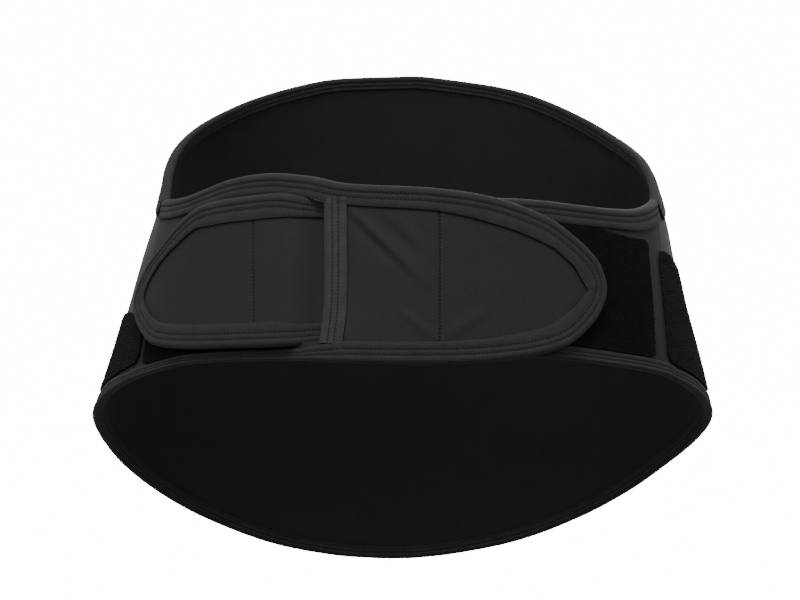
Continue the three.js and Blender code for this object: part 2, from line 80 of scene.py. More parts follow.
lens = bpy.data.cameras.new("camera")
lens.sensor_width = SENSOR
lens.lens = FOCAL_PIXELS / PHOTO_WIDTH * SENSOR
camera = bpy.data.objects.new("camera", lens)
away = Vector((0, -math.cos(CAMERA_ELEVATION), math.sin(CAMERA_ELEVATION)))
camera.location = AIM + away * CAMERA_DISTANCE
camera.rotation_euler = (-away).to_track_quat("-Z", "Y").to_euler()
bpy.context.scene.collection.objects.link(camera)
bpy.context.scene.camera = camera
print("lens", round(lens.lens, 1), "mm, camera at", [round(v, 3) for v in camera.location])

# %% [markdown]
# The belt lies on a form: a cone with an oval section, narrower at the top and leaning a little
# to one side. A place on the cloth has three numbers: its length round from the front centre,
# its height, and its lift off the form. One function, wrap, turns them into a point in space,
# so that every piece can be cut flat and wrapped afterwards, as cloth is.

# %% The form under the cloth
HALF_WIDTH = 145 * MM
HALF_DEPTH = 113 * MM
WIDTH_TAPER = 0.274
LEAN = 0.04
HALF_BAND = 49 * MM
BACK_TOP = 134 * MM
BACK_BOTTOM = 142 * MM
SEAM_AT = 157 * MM
SLOT_AT = -50 * MM
SLOT_WIDTH = 22 * MM
RIGHT_TIP_AT = 103.5 * MM
LEFT_TIP_AT = -158 * MM
OVAL_STEPS = 720

turns = np.linspace(0, math.pi, OVAL_STEPS + 1)
middles = (turns[1:] + turns[:-1]) / 2
steps = np.hypot(HALF_WIDTH * np.cos(middles), HALF_DEPTH * np.sin(middles)) * turns[1]
LENGTHS = np.concatenate([[0], np.cumsum(steps)])
HALF_GIRTH = LENGTHS[-1]


def turn_at(length):
    """The turn from the front at which the oval has this length, either way and past the back."""
    rounds = np.round(length / (2 * HALF_GIRTH))
    rest = length - rounds * 2 * HALF_GIRTH
    return rounds * 2 * math.pi + np.copysign(np.interp(np.abs(rest), LENGTHS, turns), rest)


def narrowing(height):
    return 1 - height * WIDTH_TAPER / HALF_WIDTH


def girth_at(height):
    return 2 * HALF_GIRTH * narrowing(height)


BULGES = [
    # turn from the front in degrees, height, rise, spread in degrees, spread in height
    (100, 38, 3.6, 26, 26),
    (-105, 76, 4.0, 26, 24),
    (-95, -40, -2.0, 40, 45),
    (95, -40, 1.6, 40, 40),
]


def bulge(turn, height):
    """How far the cloth stands off the form at its sides, or lies inside it."""
    total = 0
    for middle, level, rise, around, up in BULGES:
        off = (np.degrees(turn) - middle + 180) % 360 - 180
        total += rise * MM * np.exp(-(off / around) ** 2 - ((height / MM - level) / up) ** 2)
    return total


def wrap(along, height, lift):
    """The points in space of places on the cloth, given as arrays."""
    scale = narrowing(height)
    turn = turn_at(along / scale)
    lift = lift + bulge(turn, height)
    out_x, out_y = np.sin(turn) / HALF_WIDTH, -np.cos(turn) / HALF_DEPTH
    off = lift / np.hypot(out_x, out_y)
    x = HALF_WIDTH * scale * np.sin(turn) + off * out_x + LEAN * height
    y = -HALF_DEPTH * scale * np.cos(turn) + off * out_y
    return x, y, height


print("girth at the closure:", round(girth_at(0) / MM), "mm")

# %% [markdown]
# Cloth has a thickness, and layers lie on each other with a small gap. The first layer is on the
# form. A loop patch is sewn on it, a hook patch presses on that, and a tongue lies outermost.

# %% Thicknesses and layers
GAP = 0.35 * MM
PANEL = 2.4 * MM
TAPE = 0.9 * MM
PILE = 1.2 * MM
HOOK = 1.0 * MM
PILE_LIFT = PANEL + GAP
HOOK_LIFT = PILE_LIFT + PILE + GAP
OUTER_LAYER = HOOK_LIFT + HOOK + GAP
SLOT_EASE = 2 * MM
STEP = SLOT_WIDTH - 2 * SLOT_EASE


def ease(value, low, high):
    """0 below low, 1 above high, and a smooth step between."""
    share = np.clip((value - low) / (high - low), 0, 1)
    return share * share * (3 - 2 * share)


def change_over(along):
    return ease(along, SLOT_AT - STEP / 2, SLOT_AT + STEP / 2)


print("a tongue's cloth lies", round(OUTER_LAYER / MM, 2), "mm off the form")

# %% [markdown]
# An outline has only the points that its shape needs. A smooth line goes through them: each
# stretch is a Bezier curve whose handles point along the line between the neighbours. It is then
# walked at even steps, so that the pieces' columns and stitches come out evenly spaced.

# %% Smooth lines
BEZIER_STEPS = 24


def distances(line):
    """How far along a line each of its points lies."""
    return np.concatenate([[0], np.cumsum(np.hypot(*np.diff(line, axis=0).T))])


def smooth_line(knots, spacing):
    """A smooth line through flat points, as an array of points at even steps."""
    knots = [Vector(knot) for knot in knots]
    ahead = [(knots[min(i + 1, len(knots) - 1)] - knots[max(i - 1, 0)]).normalized()
             for i in range(len(knots))]
    dense = []
    for a, b, way_a, way_b in zip(knots, knots[1:], ahead, ahead[1:]):
        reach = (b - a).length / 3
        dense += interpolate_bezier(a, a + way_a * reach, b - way_b * reach, b, BEZIER_STEPS)[:-1]
    line = np.array([tuple(point) for point in dense] + [tuple(knots[-1])])
    gone = distances(line)
    even = np.linspace(0, gone[-1], max(2, round(gone[-1] / spacing)) + 1)
    return np.column_stack([np.interp(even, gone, line[:, k]) for k in (0, 1)])


print("a line of 3 and 4 has the length", distances(np.array([(0, 0), (3, 4)]))[-1])


# %% [markdown]
# The wings' outlines, in shares: reach is -1 at the side seam, 0 at the slot and 1 at the tip,
# and top and bottom are shares of half the band's height. The last two columns say how wide the
# binding shows there, in millimetres, because it is wider round the tongues than elsewhere.

# %% Outlines of the two wings
SLOTTED = [
    # reach, top, bottom, upper face, lower face
    (-1, 1, -1, 11, 5),
    (-0.86, 0.965, -0.955, 10.5, 5),
    (-0.73, 0.967, -0.91, 10, 5),
    (-0.61, 1.01, -0.88, 10, 5),
    (-0.42, 1.095, -0.867, 10.5, 5),
    (-0.2, 1.12, -0.87, 11, 5),
    (0, 1.06, -0.88, 11, 6),
    (0.13, 0.96, -0.91, 11, 10.5),
    (0.42, 0.9, -0.927, 11.5, 11),
    (0.61, 0.81, -0.894, 13.3, 11.6),
    (0.78, 0.633, -0.804, 13.3, 13),
    (0.87, 0.457, -0.69, 12.4, 13),
    (0.93, 0.31, -0.53, 12.4, 12.6),
    (0.975, 0.153, -0.347, 12, 12),
    (1, -0.1, -0.1, 11, 11),
]
PULL = [
    (-1, 1, -1, 12.5, 7),
    (-0.96, 0.93, -0.967, 12.5, 7),
    (-0.88, 0.833, -0.93, 12, 7),
    (-0.78, 0.796, -0.898, 10.6, 7),
    (-0.68, 0.8, -0.863, 10.6, 7),
    (-0.57, 0.824, -0.837, 10.6, 7),
    (-0.45, 0.829, -0.847, 11, 7),
    (-0.25, 0.796, -0.786, 11, 7),
    (-0.12, 0.75, -0.72, 8, 8),
    (-0.04, 0.785, -0.7, 8.5, 10),
    (0, 0.83, -0.725, 10.5, 11),
    (0.12, 0.88, -0.737, 12.6, 12.4),
    (0.26, 0.878, -0.739, 12.9, 12.4),
    (0.5, 0.837, -0.733, 12.6, 12.4),
    (0.61, 0.765, -0.72, 11, 12.4),
    (0.72, 0.6, -0.69, 9.8, 12.4),
    (0.81, 0.408, -0.633, 9.8, 12.2),
    (0.91, 0.24, -0.46, 10.2, 12),
    (0.975, 0.02, -0.286, 11, 12),
    (1, -0.143, -0.143, 11.8, 11.8),
]
LINE_SPACING = 1.5 * MM


def make_wing(rows, seam, tip, lift_of):
    """A wing as a closed walk round its cloth, with the cloth always on the right hand."""
    def place(reach):
        return SLOT_AT + reach * ((SLOT_AT - seam) if reach < 0 else (tip - SLOT_AT))

    top = [(place(row[0]), row[1] * HALF_BAND, row[3] * MM) for row in rows]
    bottom = [(place(row[0]), row[2] * HALF_BAND, row[4] * MM) for row in rows[:-1]]
    walk = top + bottom[::-1]
    if tip < seam:
        walk = walk[::-1]
    line = smooth_line([spot[:2] for spot in walk], LINE_SPACING)
    tip_step = int(np.argmax(np.abs(line[:, 0] - seam)))
    spots = [int(np.argmin(np.hypot(*(line - spot[:2]).T))) for spot in walk]
    faces = np.interp(np.arange(len(line)), spots, [spot[2] for spot in walk])
    return {"seam": seam, "tip": tip, "line": line, "tip_step": tip_step,
            "faces": faces, "lift_of": lift_of}


# %% [markdown]
# Pressed folds run across the right tongue between the slot and its stitch line, where the cloth
# is pulled over the wing behind it. They could be sculpted by hand, but a table of ridges and
# valleys with soft sides is easy to read and gives the same result each time.

# %% Folds and soft unevenness
FOLDS = [
    # from along, height, to along, height, rise, half width, all in millimetres
    (-36, 42, 17, -12, 1.2, 2.0),
    (-38, 38, 3, -2, -0.7, 2.6),
    (-18, 34, 10, 4, -0.8, 2.6),
    (-10, 33, 10, 12, 0.5, 2.6),
    (-27, 28, -24, -34, -0.6, 3.0),
    (-6, -15, 20, -36, 0.7, 2.2),
    (44, -14, 16, -36, 0.5, 3.0),
]
FOLD_FADE = 0.45
SOFT_RISE = 0.55 * MM
SOFT_PER_METRE = 24
FINE_RISE = 0.14 * MM
FINE_PER_METRE = 85
SEAM_EASE = 20 * MM


def fold_relief(along, height):
    """How far the folds lift the right tongue's cloth."""
    spots = np.column_stack([along, height]) / MM
    total = np.zeros(len(spots))
    for x0, y0, x1, y1, rise, width in FOLDS:
        start, way = np.array((x0, y0)), np.array((x1 - x0, y1 - y0))
        share = np.clip((spots - start) @ way / (way @ way), 0, 1)
        far = np.linalg.norm(spots - start - share[:, None] * way, axis=1) / width
        fade = ease(share, 0, FOLD_FADE) * ease(1 - share, 0, FOLD_FADE)
        total += rise * fade * np.exp(-far ** 2)
    return total * MM


def noise_over(x, y, per_metre):
    return np.array([noise.noise((a, b, 0)) for a, b in zip(x * per_metre, y * per_metre)])


def soft_relief(x, height, room):
    """The gentle unevenness of all layers. room is the distance to the side seam, where it ends."""
    soft = noise_over(x, height, SOFT_PER_METRE) * SOFT_RISE
    return (soft + noise_over(x, height, FINE_PER_METRE) * FINE_RISE) * ease(room, 0, SEAM_EASE)


def slotted_lift(along, height):
    folds = fold_relief(along, height) * (along > SLOT_AT)
    return OUTER_LAYER * change_over(along) + folds + wing_relief(along, height)


def pull_lift(along, height):
    return OUTER_LAYER * (1 - change_over(along)) + wing_relief(along, height)


def wing_relief(along, height):
    return soft_relief(along, height, SEAM_AT - np.abs(along))


slotted = make_wing(SLOTTED, -SEAM_AT, RIGHT_TIP_AT, slotted_lift)
pull = make_wing(PULL, SEAM_AT, LEFT_TIP_AT, pull_lift)
print("outline points:", len(slotted["line"]), "and", len(pull["line"]))

# %% [markdown]
# Materials come next. Each reads the piece's own UV map, which holds the flat cloth in metres,
# so the weave has its real size and follows the cloth round the body. A few helpers keep the
# node trees short to read.

# %% Helpers for materials


def maths(tree, operation, first, second=None):
    """One Math node. Each value is a socket or a number."""
    made = tree.nodes.new("ShaderNodeMath")
    made.operation = operation
    for socket, value in zip(made.inputs, (first, second)):
        if isinstance(value, bpy.types.NodeSocket):
            tree.links.new(value, socket)
        elif value is not None:
            socket.default_value = value
    return made.outputs["Value"]


def mix(tree, *parts):
    """The sum of some values, each given with its weight."""
    total = None
    for value, weight in parts:
        part = maths(tree, "MULTIPLY", value, weight)
        total = part if total is None else maths(tree, "ADD", total, part)
    return total


def waves(tree, flat, across, up, period):
    """A sine wave over the flat cloth. across and up set its direction."""
    split = tree.nodes.new("ShaderNodeSeparateXYZ")
    tree.links.new(flat, split.inputs["Vector"])
    x = maths(tree, "MULTIPLY", split.outputs["X"], across * 2 * math.pi / period)
    y = maths(tree, "MULTIPLY", split.outputs["Y"], up * 2 * math.pi / period)
    return maths(tree, "SINE", maths(tree, "ADD", x, y))


def cloudy(tree, flat, size, detail=3.0, roughness=0.55):
    """Noise with spots of about this size on the flat cloth."""
    made = tree.nodes.new("ShaderNodeTexNoise")
    made.inputs["Scale"].default_value = 1 / size
    made.inputs["Detail"].default_value = detail
    made.inputs["Roughness"].default_value = roughness
    tree.links.new(flat, made.inputs["Vector"])
    return made.outputs["Fac"]


print("nodes can be added to any tree")

# %% [markdown]
# Every cloth starts from the same shader: no metal, little gloss and a trace of sheen. Its
# colour, relief and roughness come from a pattern, and each has a helper of its own.

# %% Helpers for cloth shaders
CLOTH_SPECULAR = 0.1
CLOTH_SHEEN = 0.03


def grey(value):
    """A black cloth's colour: a neutral grey with a trace of blue."""
    return (value, value, value * 1.04)


def start_material(name, roughness, specular=CLOTH_SPECULAR, sheen=CLOTH_SHEEN, sheen_roughness=0.5):
    """A new material with its constant values on the shader's own sockets."""
    material = bpy.data.materials.new(name)
    material.use_nodes = True
    tree = material.node_tree
    shader = tree.nodes["Principled BSDF"]
    shader.inputs["Roughness"].default_value = roughness
    shader.inputs["Specular IOR Level"].default_value = specular
    shader.inputs["Sheen Weight"].default_value = sheen
    shader.inputs["Sheen Roughness"].default_value = sheen_roughness
    flat = tree.nodes.new("ShaderNodeUVMap")
    flat.uv_map = "flat"
    return material, tree, shader, flat.outputs["UV"]


def colour(tree, shader, share, dark, light):
    """The shader's colour, between two greys."""
    ramp = tree.nodes.new("ShaderNodeValToRGB")
    for stop, value in zip(ramp.color_ramp.elements, (dark, light)):
        stop.color = (*grey(value), 1)
    tree.links.new(share, ramp.inputs["Fac"])
    tree.links.new(ramp.outputs["Color"], shader.inputs["Base Color"])


def bump(tree, shader, height, distance):
    """Small relief that the light shows, this deep at the most."""
    made = tree.nodes.new("ShaderNodeBump")
    made.inputs["Distance"].default_value = distance
    made.inputs["Strength"].default_value = 1
    tree.links.new(height, made.inputs["Height"])
    tree.links.new(made.outputs["Normal"], shader.inputs["Normal"])


def vary_roughness(tree, shader, share, low, high):
    """A roughness that goes from low to high with the share."""
    spread = maths(tree, "MULTIPLY", share, high - low)
    tree.links.new(maths(tree, "ADD", spread, low), shader.inputs["Roughness"])


print("a black cloth's colour, for example:", grey(0.01))


# %% [markdown]
# The panels are a smooth knit laminated to thin foam: very dark, with tiny rows of stitches that
# catch a little light. The knit is two crossed waves, which make small round dots, and a slow
# noise makes some places a touch lighter, as handled black cloth is.

# %% Panel cloth
KNIT_ACROSS = 1.15 * MM
KNIT_UP = 1.0 * MM
KNIT_CLOUDS = 14 * MM
KNIT_GRAIN = 0.8 * MM
# How much the needle holes darken the tone: painted shade in the pits.
PIT_PAINTED_SHADE = 2
KNIT_PIT_DEPTH = 7


def make_knit(name, dark, light, roughness, relief, stitch_lines=()):
    """A knit between two greys and two roughnesses. stitch_lines are pierced by a needle."""
    material, tree, shader, flat = start_material(name, 0.6)
    courses = waves(tree, flat, 1, 0, KNIT_ACROSS)
    dots = maths(tree, "MULTIPLY", courses, waves(tree, flat, 0, 1, KNIT_UP))
    slow = cloudy(tree, flat, KNIT_CLOUDS)
    fine = cloudy(tree, flat, KNIT_GRAIN)
    tone = mix(tree, (slow, 0.75), (dots, 0.1), (fine, 0.25))
    height = mix(tree, (dots, 0.5), (fine, 1))
    for line in stitch_lines:
        pits = row_pits(tree, flat, line)
        # The pits darken the knit's tone as painted shade.
        tone = mix(tree, (tone, 1), (pits, -PIT_PAINTED_SHADE))
        height = mix(tree, (height, 1), (pits, -KNIT_PIT_DEPTH))
    colour(tree, shader, tone, dark, light)
    vary_roughness(tree, shader, slow, *roughness)
    bump(tree, shader, height, relief)
    return material


# The back panel's knit has lighter greys than the wings': painted light where the back shows at the
# belt's sides.
panel_cloth = make_knit("panel_cloth", 0.0075, 0.014, (0.52, 0.72), 0.07 * MM)
# The lining is the panel's knit in darker greys: painted shade for the inside of the belt.
shaded_lining = make_knit("shaded_lining", 0.0038, 0.008, (0.62, 0.8), 0.05 * MM)
print("made", panel_cloth.name, "and", shaded_lining.name)

# %% [markdown]
# A needle pierces cloth and tape at even steps along each stitch row, and each hole is a small pit,
# sunk by a bump and darkened with painted shade. The holes could be cut in the mesh, but the flat map
# places them as well, in step with the stitches. A row on the wings leans, so the flat map is turned
# to it first.

# %% Needle holes
HOLE_HALF = 0.6 * MM
STITCH_PITCH = 1.85 * MM


def near(tree, value, centre, half_width):
    """1 where a value is at the centre, falling to 0 at this distance."""
    off = maths(tree, "ABSOLUTE", maths(tree, "SUBTRACT", value, centre))
    share = maths(tree, "SUBTRACT", 1, maths(tree, "DIVIDE", off, half_width))
    return maths(tree, "MAXIMUM", share, 0)


def needle_holes(tree, flat, rows):
    """1 in the pits between the stitches of these rows, 0 elsewhere."""
    split = tree.nodes.new("ShaderNodeSeparateXYZ")
    tree.links.new(flat, split.inputs["Vector"])
    step = maths(tree, "PINGPONG", split.outputs["X"], STITCH_PITCH / 2)
    along = near(tree, step, 0, HOLE_HALF)
    across = [near(tree, split.outputs["Y"], row, HOLE_HALF) for row in rows]
    nearest = across[0]
    for other in across[1:]:
        nearest = maths(tree, "MAXIMUM", nearest, other)
    return maths(tree, "MULTIPLY", along, nearest)


def row_pits(tree, flat, line):
    """1 in the pits along a slanted stitch line on the flat cloth, 0 elsewhere."""
    (x0, y0), (x1, y1) = line
    turned = tree.nodes.new("ShaderNodeMapping")
    turned.vector_type = "TEXTURE"
    turned.inputs["Location"].default_value = (x0 * MM, y0 * MM, 0)
    turned.inputs["Rotation"].default_value = (0, 0, math.atan2(y1 - y0, x1 - x0))
    tree.links.new(flat, turned.inputs["Vector"])
    return needle_holes(tree, turned.outputs["Vector"], [0])


print("one hole every", round(STITCH_PITCH / MM, 2), "mm")

# %% [markdown]
# The tape of the bindings is woven: fine ribs run across it, a little slanted, and it is a touch
# lighter and duller than the wings' knit. The thread of the stitches is twisted.

# %% Tape and thread
TAPE_RIB = 0.95 * MM
TAPE_SLANT = 0.3
TAPE_WEFT = 0.7 * MM
TAPE_CLOUDS = 9 * MM
TAPE_GRAIN = 0.5 * MM
TAPE_PIT_DEPTH = 8
TAPE_RELIEF = 0.06 * MM
THREAD_TWIST = 0.5 * MM
THREAD_RELIEF = 0.05 * MM


def make_tape_cloth(name, rows, dark, light):
    """A woven tape between two greys, pierced along rows at these places across it."""
    material, tree, shader, flat = start_material(name, 0.8)
    ribs = waves(tree, flat, 1, TAPE_SLANT, TAPE_RIB)
    weft = waves(tree, flat, 0, 1, TAPE_WEFT)
    slow = cloudy(tree, flat, TAPE_CLOUDS)
    fine = cloudy(tree, flat, TAPE_GRAIN)
    holes = needle_holes(tree, flat, rows)
    # The holes darken the tape's tone as painted shade in the pits.
    tone = mix(tree, (slow, 0.6), (ribs, 0.12), (fine, 0.35), (holes, -PIT_PAINTED_SHADE))
    relief = mix(tree, (ribs, 1), (weft, 0.35), (fine, 1), (holes, -TAPE_PIT_DEPTH))
    colour(tree, shader, tone, dark, light)
    vary_roughness(tree, shader, fine, 0.68, 0.9)
    bump(tree, shader, relief, TAPE_RELIEF)
    return material


def make_thread():
    material, tree, shader, flat = start_material("thread", 0.7)
    twist = waves(tree, flat, 1, 1, THREAD_TWIST)
    colour(tree, shader, twist, 0.006, 0.014)
    bump(tree, shader, twist, THREAD_RELIEF)
    return material


thread = make_thread()
print("made", thread.name)

# %% [markdown]
# Loop pile swallows light: it is almost black, with a speckle of lighter loops. Its surface is
# also raised in the mesh, so the material only adds the finest fibres. The ribbed patches at the
# sides are the same pile on a corded base. Hook tape is stiffer and has a slight plastic shine.

# %% Pile and hooks
PILE_CLOUDS = 7 * MM
PILE_CONTRAST = 2.2
PILE_RELIEF = 0.35 * MM
HOOKS_ALONG = 1.6 * MM
HOOKS_UP = 1.3 * MM
HOOK_RELIEF = 0.3 * MM


def make_pile(name, dark, light, specks):
    """A loop pile between two greys, with speckles of this size."""
    material, tree, shader, flat = start_material(name, 1.0, 0.02, 0.01, 0.4)
    fibres = cloudy(tree, flat, specks, 5.0, 0.75)
    patches = maths(tree, "ADD", cloudy(tree, flat, PILE_CLOUDS), 0.9)
    tone = maths(tree, "MULTIPLY", maths(tree, "POWER", fibres, PILE_CONTRAST), patches)
    colour(tree, shader, tone, dark, light)
    bump(tree, shader, fibres, PILE_RELIEF)
    return material


def make_hook_tape():
    material, tree, shader, flat = start_material("hook_tape", 0.45, 0.3, 0)
    columns = waves(tree, flat, 1, 0, HOOKS_ALONG)
    hooks = maths(tree, "MULTIPLY", columns, waves(tree, flat, 0, 1, HOOKS_UP))
    colour(tree, shader, hooks, 0.004, 0.012)
    bump(tree, shader, hooks, HOOK_RELIEF)
    return material


loop_pile = make_pile("loop_pile", 0.0003, 0.01, 1.0 * MM)
ribbed_loop = make_pile("ribbed_loop", 0.002, 0.017, 1.1 * MM)
hook_tape = make_hook_tape()
print("made", loop_pile.name, ribbed_loop.name, "and", hook_tape.name)

# %% [markdown]
# Every piece is cut flat, as a grid on the table whose x is the length and y the height. It gets
# its thickness there, by solidify, and its flat place is kept as its UV map. Then each corner is
# moved round the body. Cutting first keeps the weave true and makes the flat size easy to state.


def move(piece, place):
    """Moves all corners of a piece at once. place takes and gives arrays of coordinates."""
    spots = np.array([vert.co[:] for vert in piece.verts])
    for vert, spot in zip(piece.verts, np.column_stack(place(*spots.T)).tolist()):
        vert.co = spot


def cut(columns, rows, flat_of):
    """A flat piece: a grid whose corners go from shares of the piece to places on the table."""
    piece = bmesh.new()
    bmesh.ops.create_grid(piece, x_segments=columns, y_segments=rows, size=0.5)
    move(piece, lambda x, y, z: (*flat_of(x + 0.5, y + 0.5), z))
    measure_cut(piece)
    return piece


def measure_cut(piece):
    area = sum(face.calc_area() for face in piece.faces)


def thicken(piece, thickness, lined=False):
    """Gives a flat piece its thickness, downwards from z 0. A lined piece has a second side."""
    bmesh.ops.solidify(piece, geom=piece.faces[:], thickness=thickness)
    bmesh.ops.recalc_face_normals(piece, faces=piece.faces[:])
    for face in piece.faces:
        if lined and face.calc_center_median().z < -thickness / 2:
            face.material_index = 1


def keep_flat_places(piece):
    """Writes each corner's place on the table into the UV map."""
    flat = piece.loops.layers.uv.new("flat")
    for face in piece.faces:
        for loop in face.loops:
            loop[flat].uv = loop.vert.co.xy


# %% [markdown]
# A piece that is wrapped becomes an object with its materials. It stays at the origin, because its
# place is in its mesh. Smooth shading alone would smear light round the cut rims, so edges that turn
# sharply are marked. Then the piece says what it rides on, and the node of the solid model that it
# takes the place of is hidden.

# %% Finished objects
RIM_ANGLE = math.radians(55)


def make_object(piece, name, materials, replaced=()):
    """Turns a finished bmesh into a smooth object that rides on the belt's one body."""
    mesh = bpy.data.meshes.new(name)
    for face in piece.faces:
        face.smooth = True
    piece.to_mesh(mesh)
    piece.free()
    for material in materials:
        mesh.materials.append(material)
    mesh.set_sharp_from_angle(angle=RIM_ANGLE)
    made = bpy.data.objects.new(name, mesh)
    bpy.context.scene.collection.objects.link(made)
    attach(made, "root")
    if replaced:
        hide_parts(*replaced)
    print(name, len(mesh.polygons), "faces")
    return made


print("rims that turn more than", round(math.degrees(RIM_ANGLE)), "degrees stay crisp")

# %% [markdown]
# The back panel is one tall piece from side seam to side seam. Its top and bottom edges are
# smooth curves, given as shares of how far they rise and drop from the seams to the back centre.
# On the table it is a wide flared shape, longer at the bottom because the form widens.

# %% Edges of the back panel
BACK_EDGES = [
    # way from a seam to the back centre, rise left, rise right, drop left, drop right
    (0, 0, 0, 0, 0),
    (0.06, 0.2, 0.16, 0.04, 0.04),
    (0.12, 0.39, 0.3, 0.088, 0.088),
    (0.19, 0.54, 0.405, 0.147, 0.147),
    (0.27, 0.655, 0.515, 0.214, 0.214),
    (0.36, 0.757, 0.64, 0.31, 0.3),
    (0.46, 0.842, 0.755, 0.452, 0.42),
    (0.57, 0.913, 0.853, 0.615, 0.583),
    (0.68, 0.963, 0.915, 0.77, 0.745),
    (0.8, 0.985, 0.957, 0.91, 0.893),
    (0.9, 0.994, 0.984, 0.979, 0.968),
    (0.97, 0.999, 0.998, 0.999, 0.998),
    (1, 1, 1, 1, 1),
]
EDGE_SHARE_STEP = 0.01
rise_left, rise_right, drop_left, drop_right = (
    smooth_line([(row[0], row[column]) for row in BACK_EDGES], EDGE_SHARE_STEP)
    for column in (1, 2, 3, 4))


def share_on(way, right, left):
    """The share of an edge at a way that is 0 at the right seam and 1 at the left one."""
    from_seam = 1 - np.abs(2 * way - 1)
    return np.where(way < 0.5, np.interp(from_seam, *right.T), np.interp(from_seam, *left.T))


def back_top(way):
    return HALF_BAND + share_on(way, rise_right, rise_left) * (BACK_TOP - HALF_BAND)


def back_bottom(way):
    return -HALF_BAND - share_on(way, drop_right, drop_left) * (BACK_BOTTOM - HALF_BAND)


def back_length(height):
    """The cloth's length from seam to seam at this height."""
    return girth_at(height) - 2 * SEAM_AT - GAP


def wrap_back(x, height, lift):
    """Wraps flat places of the back panel, whose x is counted from the back centre."""
    relief = soft_relief(x, height, back_length(height) / 2 - np.abs(x))
    return wrap(girth_at(height) / 2 + x, height, lift + relief)


print("the back is", round((BACK_TOP + BACK_BOTTOM) / MM), "mm high")

# %% [markdown]
# The cloth ends a little inside the edges, because the binding is folded round them. Its outside is
# the panel cloth and its inside the lining, the same knit in darker greys as painted shade inside the
# belt. A grid with many columns bends smoothly, and a subdivision modifier could do the same, but it
# would pull in the rim.

# %% Back panel
HEM = 2.2 * MM
BACK_COLUMNS = 210
BACK_ROWS = 90


def back_flat(across, up):
    height = back_bottom(across) + HEM + up * (back_top(across) - back_bottom(across) - 2 * HEM)
    return (across - 0.5) * back_length(height), height


back = cut(BACK_COLUMNS, BACK_ROWS, back_flat)
thicken(back, PANEL, lined=True)
keep_flat_places(back)
move(back, lambda x, y, z: wrap_back(x, y, z + PANEL))
back_panel = make_object(back, "back_panel_cloth", (panel_cloth, shaded_lining), ["back_panel"])

# %% [markdown]
# A wing's cloth is cut between its top and bottom edges, a little inside the outline because the
# binding folds over it. An upright stitch line on each tongue leans a little, so it is given by
# its two ends.

# %% Edges of the wings
CLOTH_STATION = 1.35 * MM
CLOTH_ROWS = 70
TIP_HEM = 4.5 * MM
LEFT_STITCHES = ((-77.4, 31), (-73, -35))
RIGHT_STITCHES = ((15.4, 31), (17.6, -34))
STITCH_SINK = 0.45 * MM
STITCH_PULL = 1.3 * MM


def stitch_line_at(line, height):
    """How far along the cloth a stitch line stands at a height."""
    (x0, y0), (x1, y1) = line
    return (x0 + (height / MM - y0) * (x1 - x0) / (y1 - y0)) * MM


def wing_edges(wing):
    """The heights of a wing's outline along its upper and lower side."""
    line, tip = wing["line"], wing["tip_step"]
    halves = [line[:tip + 1], line[tip:]]
    halves = [half if half[-1, 0] > half[0, 0] else half[::-1] for half in halves]
    halves.sort(key=lambda half: half[:, 1].mean())
    lower, upper = halves
    return (lambda along: np.interp(along, *lower.T)), (lambda along: np.interp(along, *upper.T))


def wing_flat_of(wing):
    """The flat places of a wing's cloth, and its length."""
    lower, upper = wing_edges(wing)
    inner = wing["tip"] + math.copysign(TIP_HEM, wing["seam"] - wing["tip"])
    seam = wing["seam"] + math.copysign(GAP / 2, wing["tip"] - wing["seam"])
    low, high = sorted((inner, seam))

    def flat_of(across, up):
        along = low + across * (high - low)
        bottom, top = lower(along) + HEM, upper(along) - HEM
        return along, bottom + up * (top - bottom)

    return flat_of, high - low


left_at = stitch_line_at(LEFT_STITCHES, 0)
print("the left stitch line crosses the middle at", round(left_at / MM, 1), "mm")

# %% [markdown]
# Straight cuts are made as with a knife on the table, by bisect_plane. Five close cuts along a
# stitch line give the cloth the corners that it needs to sink there. Four more cuts mark the
# slot, and the faces between them are taken out.

# %% Knife cuts
SAME_PLACE = 1e-6
KNIFE_STEPS = (-1, -0.5, 0, 0.5, 1)


def straight_cut(piece, point, normal):
    geometry = piece.verts[:] + piece.edges[:] + piece.faces[:]
    bmesh.ops.bisect_plane(piece, geom=geometry, dist=SAME_PLACE, plane_co=point, plane_no=normal)


def cut_out(piece, low, high):
    """Takes a rectangle out of a flat piece."""
    for corner in (low, high):
        straight_cut(piece, (*corner, 0), (1, 0, 0))
        straight_cut(piece, (*corner, 0), (0, 1, 0))
    inside = []
    for face in piece.faces:
        centre = face.calc_center_median()
        if low[0] < centre.x < high[0] and low[1] < centre.y < high[1]:
            inside.append(face)
    bmesh.ops.delete(piece, geom=inside, context="FACES")


def cut_wing(wing, stitches_along):
    """A wing's flat cloth, with the knife cuts along its stitch line."""
    flat_of, length = wing_flat_of(wing)
    piece = cut(round(length / CLOTH_STATION), CLOTH_ROWS, flat_of)
    (x0, y0), (x1, y1) = stitches_along
    for share in KNIFE_STEPS:
        through = (stitch_line_at(stitches_along, 0) + share * STITCH_PULL, 0, 0)
        straight_cut(piece, through, (y1 - y0, x0 - x1, 0))
    return piece


def place_wing(wing, stitches_along):
    """The function that wraps a wing's cloth, pulled down at its stitch line."""
    def place(along, height, z):
        off = along - stitch_line_at(stitches_along, height)
        sink = STITCH_SINK * np.exp(-(off / (STITCH_PULL / 2)) ** 2)
        return wrap(along, height, wing["lift_of"](along, height) + PANEL + z - sink)
    return place


print("the cloth sinks", round(STITCH_SINK / MM, 2), "mm at a stitch line")
